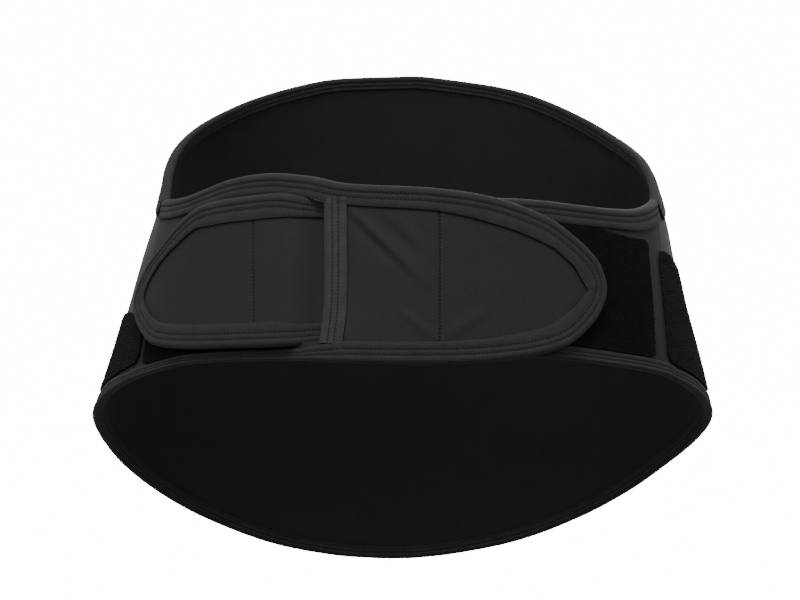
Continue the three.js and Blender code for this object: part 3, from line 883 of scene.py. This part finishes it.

# %% [markdown]
# The left wing has the slot. It starts on the form and steps out over the slot, because beyond it the
# cloth lies on the patches and on the other wing. The cloth that shows on the wings is a knit in
# darker greys than the back's, whose lighter greys are painted light on the belt's sides; it is
# pierced along the two stitch lines.

# %% Slotted wing
SLOT_LOW = -33.5 * MM
SLOT_HIGH = 41 * MM
SLOT_FROM = SLOT_AT - SLOT_WIDTH / 2
SLOT_TO = SLOT_AT + SLOT_WIDTH / 2
wing_cloth = make_knit("wing_cloth", 0.0038, 0.0085, (0.55, 0.75), 0.07 * MM,
                       (LEFT_STITCHES, RIGHT_STITCHES))
print("made", wing_cloth.name)
cloth = cut_wing(slotted, RIGHT_STITCHES)
cut_out(cloth, (SLOT_FROM, SLOT_LOW), (SLOT_TO + HEM, SLOT_HIGH))
measure_cut(cloth)
thicken(cloth, PANEL, lined=True)
keep_flat_places(cloth)
move(cloth, place_wing(slotted, RIGHT_STITCHES))
slotted_cloth = make_object(cloth, "slotted_wing_cloth", (wing_cloth, shaded_lining),
                            ["slotted_wing"])

# %% [markdown]
# The right wing has no slot. It runs behind the right tongue and steps out at the slot, where it
# comes to lie on the left wing.

# %% Pull wing
cloth = cut_wing(pull, LEFT_STITCHES)
thicken(cloth, PANEL, lined=True)
keep_flat_places(cloth)
move(cloth, place_wing(pull, LEFT_STITCHES))
pull_cloth = make_object(cloth, "pull_wing_cloth", (wing_cloth, shaded_lining), ["pull_wing"])

# %% [markdown]
# Each binding is one long flat tape folded over the edge. Its section is a table: how far from
# the folded edge, and how far off the cloth's inner face. Two stitch rows pull it down, and it
# puffs up between them and along the fold. The section could be swept along the edge as a
# curve's bevel, but a flat tape that is folded in code keeps its weave and its true width.

# %% The tape's section
FULL_FACE = 11.0
ROWS = (4.4, 7.1)
SECTION = [
    # from the edge and lift, in millimetres, for a tape that shows 11 mm
    (11.0, 2.95),
    (10.2, 3.3),
    (8.6, 3.35),
    (7.1, 3.0),
    (5.75, 3.4),
    (4.4, 3.0),
    (3.2, 3.5),
    (2.1, 3.45),
    (1.1, 2.9),
    (0.55, 2.0),
    (0.45, 1.2),
    (0.55, 0.4),
    (1.1, -0.45),
    (2.1, -0.95),
    (3.2, -1.0),
    (4.4, -0.6),
    (5.75, -0.9),
    (7.1, -0.6),
    (9.0, -0.75),
]
SECTION_SPACING = 0.55
section_line = smooth_line(SECTION, SECTION_SPACING)
across_line = distances(section_line)
TAPE_WIDTH = float(across_line[-1]) * MM
print("the tape is", round(TAPE_WIDTH / MM, 1), "mm wide before it is folded")


def spread(from_edge, face):
    """Widens or narrows the tape's section to the face that shows, in millimetres."""
    wide = ROWS[1] + (from_edge - ROWS[1]) * (face - ROWS[1]) / (FULL_FACE - ROWS[1])
    narrow = from_edge * np.minimum(face / FULL_FACE, 1)
    return np.where((face < FULL_FACE) | (from_edge < ROWS[1]), narrow, wide)


section_ahead = np.gradient(section_line, axis=0)


def section_at(across):
    """The section's place and the way out of the tape there, in millimetres."""
    from_edge, lift, ahead_x, ahead_y = (np.interp(across / MM, across_line, values) for values in
                                         (*section_line.T, *section_ahead.T))
    size = np.hypot(ahead_x, ahead_y)
    return from_edge, lift, ahead_y / size, -ahead_x / size


# %% [markdown]
# A walk is the line that a folded edge follows, with the line where the tape's other edge lies on
# the cloth. That line is a parallel of the edge, apart from the tips of the two tongues, where it
# is sewn to a corner. Each point of the edge belongs to the nearest point of that line, so the
# tape turns round the corner as real tape does. At a side seam the tape is cut square.

# %% Walks along edges
SQUARE_END = 9 * MM
FINE_SPACING = 0.1 * MM
RIGHT_CORNER = [(73, 15), (84, 6), (92, -6), (84, -16), (73, -24.2)]
LEFT_CORNER = [(-130, -20.9), (-139.5, -15.2), (-146.4, -5), (-138, 8.7), (-128, 17.4)]


def nearest_on(line, spots):
    """The nearest point of a line for each of these spots."""
    gone = distances(line)
    even = np.linspace(0, gone[-1], round(gone[-1] / FINE_SPACING))
    fine = np.column_stack([np.interp(even, gone, line[:, k]) for k in (0, 1)])
    return np.array([fine[np.argmin(np.hypot(*(fine - spot).T))] for spot in spots])


def make_walk(line, faces, corner=(), round_corner=False, square_ends=True):
    """A walk along an edge. faces says how wide the tape shows at each of its points."""
    ahead = np.gradient(line, axis=0)
    ahead /= np.hypot(*ahead.T)[:, None]
    inner = line + np.column_stack([ahead[:, 1], -ahead[:, 0]]) * faces[:, None]
    if corner:
        knots = np.array(corner) * MM
        if round_corner:
            knots = smooth_line(knots, LINE_SPACING)
        side = np.sign(knots[0, 0])
        past = np.flatnonzero(inner[:, 0] * side > knots[0, 0] * side)
        seam = np.vstack([inner[:past[0]], knots, inner[past[-1] + 1:]])
        inner = nearest_on(seam, line)
    gone = distances(line)
    if square_ends:
        for end in (0, -1):
            close = 1 - np.clip(np.abs(gone - gone[end]) / SQUARE_END, 0, 1)
            inner[:, 0] += (line[:, 0] - inner[:, 0]) * close
    return {"gone": gone, "line": line, "inner": inner, "length": float(gone[-1])}


def walk_at(walk, gone, from_edge):
    """The flat place at a distance along a walk and this far into the cloth, in millimetres."""
    x, y, inner_x, inner_y = (np.interp(gone, walk["gone"], values) for values in
                              (*walk["line"].T, *walk["inner"].T))
    face = np.hypot(inner_x - x, inner_y - y) / MM
    share = spread(from_edge, face) / face
    return x + (inner_x - x) * share, y + (inner_y - y) * share


slotted_walk = make_walk(slotted["line"], slotted["faces"], RIGHT_CORNER)
pull_walk = make_walk(pull["line"], pull["faces"], LEFT_CORNER, round_corner=True)
for walk in (slotted_walk, pull_walk):
    print("a wing's edge is", round(walk["length"] / MM), "mm long")

# %% [markdown]
# Folding is one function: it takes flat tape, looks up where the section puts each corner, goes
# that far in from the edge and that far off the cloth, and wraps the result. A little noise
# puckers the tape, as stitches do.

# %% Folding tape over an edge
PUCKER = 0.11
PUCKER_PER_METRE = 220


def fold_place(walk, lift_of, wrap_place):
    """The function that folds flat tape, x along it and y across it, over an edge."""
    def place(gone, across, z):
        from_edge, lift, out_edge, out_lift = section_at(across)
        off = (z + TAPE / 2) / MM
        pucker = PUCKER * noise_over(gone, across, PUCKER_PER_METRE)
        along, height = walk_at(walk, gone, from_edge + out_edge * off)
        lift = (lift + out_lift * off + pucker) * MM
        return wrap_place(along, height, lift + lift_of(along, height))
    return place


print("the tape puckers by up to about", PUCKER, "mm")

# %% [markdown]
# A row of stitches is hundreds of short bars of thread. One bar is a sphere squeezed long and
# flat, with few faces, and an Array modifier repeats it along the row. Each bar could be placed
# by hand or by a geometry node setup, but the array is the shortest way and is applied at once.

# %% Stitches
STITCH_HALF = (0.62, 0.24, 0.17)
STITCH_SIDES = 6
STITCH_RINGS = 4


def repeated(piece, count, step):
    """Copies a small shape along x with an Array modifier."""
    mesh = bpy.data.meshes.new("pattern")
    piece.to_mesh(mesh)
    pattern = bpy.data.objects.new("pattern", mesh)
    bpy.context.scene.collection.objects.link(pattern)
    array = pattern.modifiers.new("array", "ARRAY")
    array.count = count
    array.use_relative_offset = False
    array.use_constant_offset = True
    array.constant_offset_displace = (step, 0, 0)
    piece.clear()
    piece.from_object(pattern, bpy.context.evaluated_depsgraph_get())
    bpy.data.objects.remove(pattern)
    bpy.data.meshes.remove(mesh)


def stitches(length, rows):
    """Rounded bars of thread in rows along x, at these places across and this height."""
    piece = bmesh.new()
    size = Matrix.Diagonal((*(half * MM for half in STITCH_HALF), 1))
    for across, off in rows:
        seat = Matrix.Translation((STITCH_PITCH / 2, across, off))
        bmesh.ops.create_uvsphere(piece, u_segments=STITCH_SIDES, v_segments=STITCH_RINGS, radius=1,
                                  matrix=seat @ size)
    repeated(piece, int(length / STITCH_PITCH), STITCH_PITCH)
    keep_flat_places(piece)
    return piece


print("a stitch is", 2 * STITCH_HALF[0], "mm long, one every", round(STITCH_PITCH / MM, 2), "mm")

# %% [markdown]
# Each edge takes one tape and four stitch rows, two on each leaf, in the two grooves of the section.
# The slot's tape is the same tape in lighter greys, as painted light on the strip that stands proud.

# %% Bindings of the wings
TAPE_COLUMN = 1.7 * MM
THREAD_SEAT = 0.05 * MM


def row_places():
    """How far across the tape its four stitch rows lie."""
    knots = [knot for knot in SECTION if knot[0] in ROWS]
    steps = [int(np.argmin(np.hypot(*(section_line - knot).T))) for knot in knots]
    return [float(across_line[step]) * MM for step in steps]


STITCH_ROWS = row_places()
binding_tape = make_tape_cloth("binding_tape", STITCH_ROWS, 0.005, 0.017)
# The slot's tape is the same tape in lighter greys: painted light on the raised strip.
slot_tape_painted_light = make_tape_cloth("slot_tape_painted_light", STITCH_ROWS, 0.008, 0.027)
print("stitch rows", [round(row / MM, 2) for row in STITCH_ROWS], "mm across the tape")


def bind(name, walk, lift_of, replaced, wrap_place=wrap, material=binding_tape):
    """Folds a tape over an edge, with its stitches."""
    place = fold_place(walk, lift_of, wrap_place)
    rows = len(section_line) - 1
    tape = cut(round(walk["length"] / TAPE_COLUMN), rows,
               lambda across, up: (across * walk["length"], up * TAPE_WIDTH))
    thicken(tape, TAPE)
    keep_flat_places(tape)
    move(tape, place)
    made = make_object(tape, name, [material], [replaced])
    thread_rows = stitches(walk["length"], [(row, THREAD_SEAT) for row in STITCH_ROWS])
    move(thread_rows, place)
    make_object(thread_rows, name.replace("tape", "stitches"), [thread])


bind("slotted_wing_tape", slotted_walk, slotted_lift, "slotted_wing_binding")
bind("pull_wing_tape", pull_walk, pull_lift, "pull_wing_binding")

# %% [markdown]
# The back's two bindings are the same tape, a little narrower. Their walks are the top and bottom
# edges on the table, the top one from the right seam to the left, the bottom one back again.

# %% Bindings of the back
BACK_FACE = 8.5 * MM
FACE_CHANGE = 0.12
EDGE_POINTS = 320


def back_edge_walk(edge_of, right_face, left_face, backwards):
    """A walk along the back's top or bottom edge. The faces are the wings' own, to meet them."""
    ways = np.linspace(0, 1, EDGE_POINTS + 1)
    heights = edge_of(ways)
    line = np.column_stack([(ways - 0.5) * back_length(heights), heights])
    from_seam = 1 - np.abs(2 * ways - 1)
    seam_faces = np.where(ways < 0.5, right_face, left_face) * MM
    faces = BACK_FACE + (seam_faces - BACK_FACE) * (1 - ease(from_seam, 0, FACE_CHANGE))
    if backwards:
        line, faces = line[::-1].copy(), faces[::-1].copy()
    return make_walk(line, faces)


def no_lift(along, height):
    return 0


top_walk = back_edge_walk(back_top, PULL[0][3], SLOTTED[0][3], False)
bottom_walk = back_edge_walk(back_bottom, PULL[0][4], SLOTTED[0][4], True)
bind("back_top_tape", top_walk, no_lift, "back_binding_top", wrap_back)
bind("back_bottom_tape", bottom_walk, no_lift, "back_binding_bottom", wrap_back)

# %% [markdown]
# A shorter tape is folded over the slot's edge that shows. It leans a little at its foot, where the
# wing behind pulls on it. It is the lightest thing at the front: it stands proud of the cloth, and
# its tape is given lighter greys as painted light on that raised strip.

# %% Slot binding
STRIP_ENDS = [(-40, -34.5), (-38.9, -18), (-39.2, 0), (-41, 39.5)]
STRIP_FACE = 11.2 * MM
strip_line = smooth_line([(x * MM, y * MM) for x, y in STRIP_ENDS], LINE_SPACING)
strip_walk = make_walk(strip_line, np.full(len(strip_line), STRIP_FACE), square_ends=False)
bind("slot_tape", strip_walk, slotted_lift, "slot_binding",
     material=slot_tape_painted_light)

# %% [markdown]
# The loop patches that the tongues press onto are cut with rounded corners and raised in
# thousands of small points, so that their edges look brushed. Real hairs could be grown on them,
# but points in the mesh look the same from here and stay light. The rims fray by a noise whose
# offset is random, so it gets a seed, and each run gives the same rims.

# %% Raised pile and frayed rims
PILE_RISE = 0.45 * MM
PILE_PER_METRE = 1300
RIB_RISE = 0.16 * MM
FRAY_PER_METRE = 900
FRAY_SEED = 8
noise.seed_set(FRAY_SEED)


def pile_lift(along, height, z, rib_period=None):
    """The lift of a pile's corners: its upper side is raised in small points, or in ribs."""
    raised = PILE_RISE * noise_over(along, height, PILE_PER_METRE)
    if rib_period:
        raised += RIB_RISE * np.cos(2 * math.pi * height / rib_period)
    return PILE_LIFT + PILE + z + raised * (z > -PILE / 2)


def fray(piece, reach):
    """Moves the rim's corners in and out a little, as a cut pile edge is."""
    for vert in piece.verts:
        if vert.is_boundary:
            shift = noise.noise_vector(vert.co * FRAY_PER_METRE) * reach
            vert.co += Vector((shift.x, shift.y, 0))


print("pile stands", round((PILE + PILE_RISE) / MM, 2), "mm high at the most")

# %% [markdown]
# A loop patch follows its wing's outline at a margin. Its end by the side seam falls away in a
# curve and has rounded corners, so that it doesn't catch.

# %% Loop patches
PILE_STATION = 0.75 * MM
PILE_ROWS = 88
FRAY = 0.5 * MM
PATCH_CORNER = 6 * MM
LOWER_CORNER = PATCH_CORNER / 3
LOOP_PATCHES = {
    # name: wing, from along, to along, margin above, margin below, fall at its end
    "left": (slotted, -66, -147, 11, 5.6, 24),
    "right": (pull, 24, 140, 11.2, 7.6, 6),
}
FALLS_FROM = 0.6


def patch_flat_of(wing, start, end, above, below, fall):
    lower, upper = wing_edges(wing)
    low, high = sorted((start * MM, end * MM))

    def flat_of(across, up):
        along = low + across * (high - low)
        gone = np.abs(along - start * MM) / (high - low)
        past = np.clip(1 - np.abs(end * MM - along) / PATCH_CORNER, 0, 1)
        rounding = 1 - np.sqrt(1 - past * past)
        fallen = fall * MM * ease(gone, FALLS_FROM, 1)
        top = upper(along) - above * MM - rounding * PATCH_CORNER - fallen
        bottom = lower(along) + below * MM + rounding * LOWER_CORNER
        return along, bottom + up * (top - bottom)

    return flat_of


for side, (wing, start, end, above, below, fall) in LOOP_PATCHES.items():
    name = f"loop_patch_{side}_pile"
    flat_of = patch_flat_of(wing, start, end, above, below, fall)
    patch = cut(round(abs(end - start) * MM / PILE_STATION), PILE_ROWS, flat_of)
    fray(patch, FRAY)
    thicken(patch, PILE)
    keep_flat_places(patch)
    move(patch, lambda x, y, z: wrap(x, y, pile_lift(x, y, z) + wing_relief(x, y)))
    made = make_object(patch, name, [loop_pile], [f"loop_patch_{side}"])

# %% [markdown]
# The patches at the sides have the same pile in fine level ribs, as pile on a corded base has.
# They follow the back's bottom edge above its binding, so their heights are given from there. The
# left one is lower than the right one, and each is sewn over a side seam.

# %% Side patches
SIDE_PATCH_AT = 152 * MM
SIDE_PATCH_LENGTH = 62 * MM
SIDE_EDGES = [
    # way from the front edge to the rear, top left, top right, bottom above the back's binding
    (0, -0.45, 0.3, 0.1),
    (0.03, -0.34, 0.39, 0.02),
    (0.09, -0.3, 0.41, -0.01),
    (0.4, -0.24, 0.32, -0.01),
    (0.7, -0.25, 0.2, -0.01),
    (0.93, -0.3, 0.1, 0.02),
    (1, -0.4, 0, 0.12),
]
RIB = 1.3 * MM
SIDE_ROWS = 150
SIDE_FRAY = 0.35 * MM
HEIGHT_TRIES = 3
top_left, top_right, side_bottom = (
    smooth_line([(row[0], row[column]) for row in SIDE_EDGES], EDGE_SHARE_STEP)
    for column in (1, 2, 3))


def back_bottom_at(along, side):
    """The height of the back's bottom edge at a length round from the front centre."""
    height = -HALF_BAND
    for _ in range(HEIGHT_TRIES):
        way = np.maximum((along - SEAM_AT) / (girth_at(height) - 2 * SEAM_AT), 0)
        height = back_bottom(way if side > 0 else 1 - way)
    return height


def side_flat_of(side):
    """The flat places of a side patch, in the back panel's own coordinates."""
    def flat_of(across, up):
        way = across if side > 0 else 1 - across
        along = SIDE_PATCH_AT + way * SIDE_PATCH_LENGTH
        top = np.interp(way, *(top_right if side > 0 else top_left).T) * HALF_BAND
        above = np.interp(way, *side_bottom.T) * HALF_BAND
        bottom = back_bottom_at(along, side) + BACK_FACE + above
        height = bottom + up * (top - bottom)
        return side * (along - girth_at(height) / 2), height
    return flat_of


for side, word in ((-1, "left"), (1, "right")):
    name = f"side_patch_{word}_pile"
    patch = cut(round(SIDE_PATCH_LENGTH / PILE_STATION), SIDE_ROWS, side_flat_of(side))
    fray(patch, SIDE_FRAY)
    thicken(patch, PILE)
    keep_flat_places(patch)
    move(patch, lambda x, y, z: wrap_back(x, y, pile_lift(x, y, z, RIB)))
    made = make_object(patch, name, [ribbed_loop], [f"side_patch_{word}"])

# %% [markdown]
# The hook patches are hidden between a tongue and the loops that it presses on. They are cut to
# the tongue's shape inside its binding, and they stay plain, because nothing shows of them.

# %% Hook patches
HOOK_MARGIN = 12 * MM
HOOK_TIP = 13 * MM
LEAST_HALF = 1 * MM
HOOK_COLUMNS = 50
HOOK_ROWS = 30
HOOK_PATCHES = {
    # name: wing, from along in millimetres
    "left": (pull, -77),
    "right": (slotted, 16),
}


def hook_flat_of(wing, start):
    lower, upper = wing_edges(wing)
    inner = wing["tip"] + math.copysign(HOOK_TIP, wing["seam"] - wing["tip"])
    low, high = sorted((inner, start * MM))

    def flat_of(across, up):
        along = low + across * (high - low)
        middle = (lower(along) + upper(along)) / 2
        half = np.maximum((upper(along) - lower(along)) / 2 - HOOK_MARGIN, LEAST_HALF)
        return along, middle + (2 * up - 1) * half

    return flat_of


for word, (wing, start) in HOOK_PATCHES.items():
    name = f"hook_patch_{word}_tape"
    patch = cut(HOOK_COLUMNS, HOOK_ROWS, hook_flat_of(wing, start))
    thicken(patch, HOOK)
    keep_flat_places(patch)
    move(patch, lambda x, y, z: wrap(x, y, HOOK_LIFT + HOOK + z + wing_relief(x, y)))
    made = make_object(patch, name, [hook_tape], [f"hook_patch_{word}"])

# %% [markdown]
# One upright row on each tongue sews the hidden hook patch on. It pulls the cloth down to a
# groove, so its stitches lie in the groove.

# %% Upright stitch rows
THREAD_SINK = 0.8
UPRIGHT_ROWS = {
    # name: wing, its stitch line
    "left_upright_stitches": (pull, LEFT_STITCHES),
    "right_upright_stitches": (slotted, RIGHT_STITCHES),
}
for name, (wing, line) in UPRIGHT_ROWS.items():
    start, end = (np.array(spot) * MM for spot in line)
    length = float(np.hypot(*(end - start)))
    down = (end - start) / length

    def down_the_wing(x, y, z):
        along = start[0] + x * down[0] - y * down[1]
        height = start[1] + x * down[1] + y * down[0]
        lift = wing["lift_of"](along, height) + PANEL - STITCH_SINK * THREAD_SINK
        return wrap(along, height, lift + z)

    row = stitches(length, [(0, THREAD_SEAT)])
    move(row, down_the_wing)
    make_object(row, name, [thread])

# %% [markdown]
# The stage is a plain pale sweep: a floor that curves up into a wall. It is made from one edge,
# drawn out into the floor, spun up through a quarter turn and drawn out again into the wall.

# %% Floor and backdrop
FLOOR_Z = -0.45
SWEEP_WIDTH = 9.0
FLOOR_FRONT = -5.0
FLOOR_BACK = 2.8
SWEEP_RADIUS = 0.7
SWEEP_STEPS = 24
WALL_TOP = 3.5


def of_kind(geometry, kind):
    return [part for part in geometry if isinstance(part, kind)]


def draw_out(piece, edges, way):
    """Draws edges out into faces, and gives back the edges at the far end."""
    made = bmesh.ops.extrude_edge_only(piece, edges=edges)["geom"]
    bmesh.ops.translate(piece, verts=of_kind(made, bmesh.types.BMVert), vec=way)
    return of_kind(made, bmesh.types.BMEdge)


def make_sweep():
    piece = bmesh.new()
    ends = [piece.verts.new((side * SWEEP_WIDTH / 2, FLOOR_FRONT, FLOOR_Z)) for side in (-1, 1)]
    edges = draw_out(piece, [piece.edges.new(ends)], (0, FLOOR_BACK - FLOOR_FRONT, 0))
    turned = bmesh.ops.spin(piece, geom=edges, cent=(0, FLOOR_BACK, FLOOR_Z + SWEEP_RADIUS),
                            axis=(1, 0, 0), angle=math.pi / 2, steps=SWEEP_STEPS,
                            use_duplicate=False)
    last = of_kind(turned["geom_last"], bmesh.types.BMEdge)
    draw_out(piece, last, (0, 0, WALL_TOP - FLOOR_Z - SWEEP_RADIUS))
    bmesh.ops.recalc_face_normals(piece, faces=piece.faces[:])
    mesh = bpy.data.meshes.new("sweep")
    for face in piece.faces:
        face.smooth = True
    piece.to_mesh(mesh)
    piece.free()
    made = bpy.data.objects.new("sweep", mesh)
    bpy.context.scene.collection.objects.link(made)
    made.visible_diffuse = made.visible_glossy = made.visible_shadow = False
    made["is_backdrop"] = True
    return made


sweep = make_sweep()
print("floor at", FLOOR_Z, "m, sweep faces:", len(sweep.data.polygons))

# %% [markdown]
# The wall glows behind the belt, as a lit backdrop does, so that black cloth stands out against
# it. The glow would also light the cloth and give it broad bright rims, so only the camera sees
# the sweep.

# %% Glow of the backdrop
GLOW = 15.0
GLOW_STARTS = FLOOR_Z + 0.02
GLOW_IS_FULL = FLOOR_Z + 0.17
GLOW_HALF_WIDTH = 0.85
GLOW_FADE = 0.4


def fade(tree, value, start, full):
    """0 where a value is at the start and 1 where it is at full, with a smooth step between."""
    made = tree.nodes.new("ShaderNodeMapRange")
    made.interpolation_type = "SMOOTHSTEP"
    made.inputs["From Min"].default_value = start
    made.inputs["From Max"].default_value = full
    tree.links.new(value, made.inputs["Value"])
    return made.outputs["Result"]


def make_sweep_material():
    material = bpy.data.materials.new("pale_sweep")
    material.use_nodes = True
    tree = material.node_tree
    shader = tree.nodes["Principled BSDF"]
    shader.inputs["Base Color"].default_value = (0.8, 0.8, 0.8, 1)
    shader.inputs["Roughness"].default_value = 0.8
    shader.inputs["Emission Color"].default_value = (1, 1, 1, 1)
    place = tree.nodes.new("ShaderNodeTexCoord")
    split = tree.nodes.new("ShaderNodeSeparateXYZ")
    tree.links.new(place.outputs["Object"], split.inputs["Vector"])
    up = fade(tree, split.outputs["Z"], GLOW_STARTS, GLOW_IS_FULL)
    sideways = maths(tree, "ABSOLUTE", split.outputs["X"])
    near_middle = fade(tree, sideways, GLOW_HALF_WIDTH + GLOW_FADE, GLOW_HALF_WIDTH)
    glow = maths(tree, "MULTIPLY", up, near_middle)
    tree.links.new(maths(tree, "MULTIPLY", glow, GLOW), shader.inputs["Emission Strength"])
    return material


sweep.data.materials.append(make_sweep_material())
print("the backdrop glows from", GLOW_STARTS, "m up")

# %% [markdown]
# The light is soft and comes from all round, stronger from above than from below. Two large
# softboxes stand in front, one hangs above, and one behind lights the tall back. One even sky
# could light the belt alone, but black cloth shows its form only where light comes from a side.

# %% Light
SKY_BELOW = 0.25
SKY_ABOVE = 1.25
SOFTBOXES = [
    # name, place and size in metres, power in watts
    ("left_softbox", (-1.7, -1.9, 0.9), 1.3, 38),
    ("right_softbox", (1.9, -1.4, 1.1), 1.2, 24),
    ("top_softbox", (-0.1, -1.0, 1.8), 1.2, 52),
    ("rear_softbox", (0.5, 2.1, 1.3), 1.3, 45),
]
world = bpy.data.worlds.new("studio")
world.use_nodes = True
sky = world.node_tree
direction = sky.nodes.new("ShaderNodeTexCoord")
split = sky.nodes.new("ShaderNodeSeparateXYZ")
sky.links.new(direction.outputs["Generated"], split.inputs["Vector"])
strength = sky.nodes.new("ShaderNodeMapRange")
for socket, value in zip(("From Min", "From Max", "To Min", "To Max"), (-1, 1, SKY_BELOW, SKY_ABOVE)):
    strength.inputs[socket].default_value = value
sky.links.new(split.outputs["Z"], strength.inputs["Value"])
sky.links.new(strength.outputs["Result"], sky.nodes["Background"].inputs["Strength"])
sky.nodes["Background"].inputs["Color"].default_value = (1, 1, 1, 1)
bpy.context.scene.world = world
for name, place, size, power in SOFTBOXES:
    light = bpy.data.lights.new(name, "AREA")
    light.shape = "SQUARE"
    light.size = size
    light.energy = power
    lamp = bpy.data.objects.new(name, light)
    lamp.location = place
    lamp.rotation_euler = Vector(place).to_track_quat("Z", "Y").to_euler()
    lamp.visible_camera = False
    bpy.context.scene.collection.objects.link(lamp)
print("lights:", len(SOFTBOXES), "and the sky")

# %% [markdown]
# Last, the sizes of the solid model's box and of this visual one are printed side by side.

# %% Sizes and finish
visual_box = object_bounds()
boxes = {"cad": [list(corner) for corner in cad_box],
         "visual": [list(corner) for corner in visual_box]}
for name, (low, high) in boxes.items():
    print(name, "box in mm:", [round(v / MM, 1) for v in low], [round(v / MM, 1) for v in high])
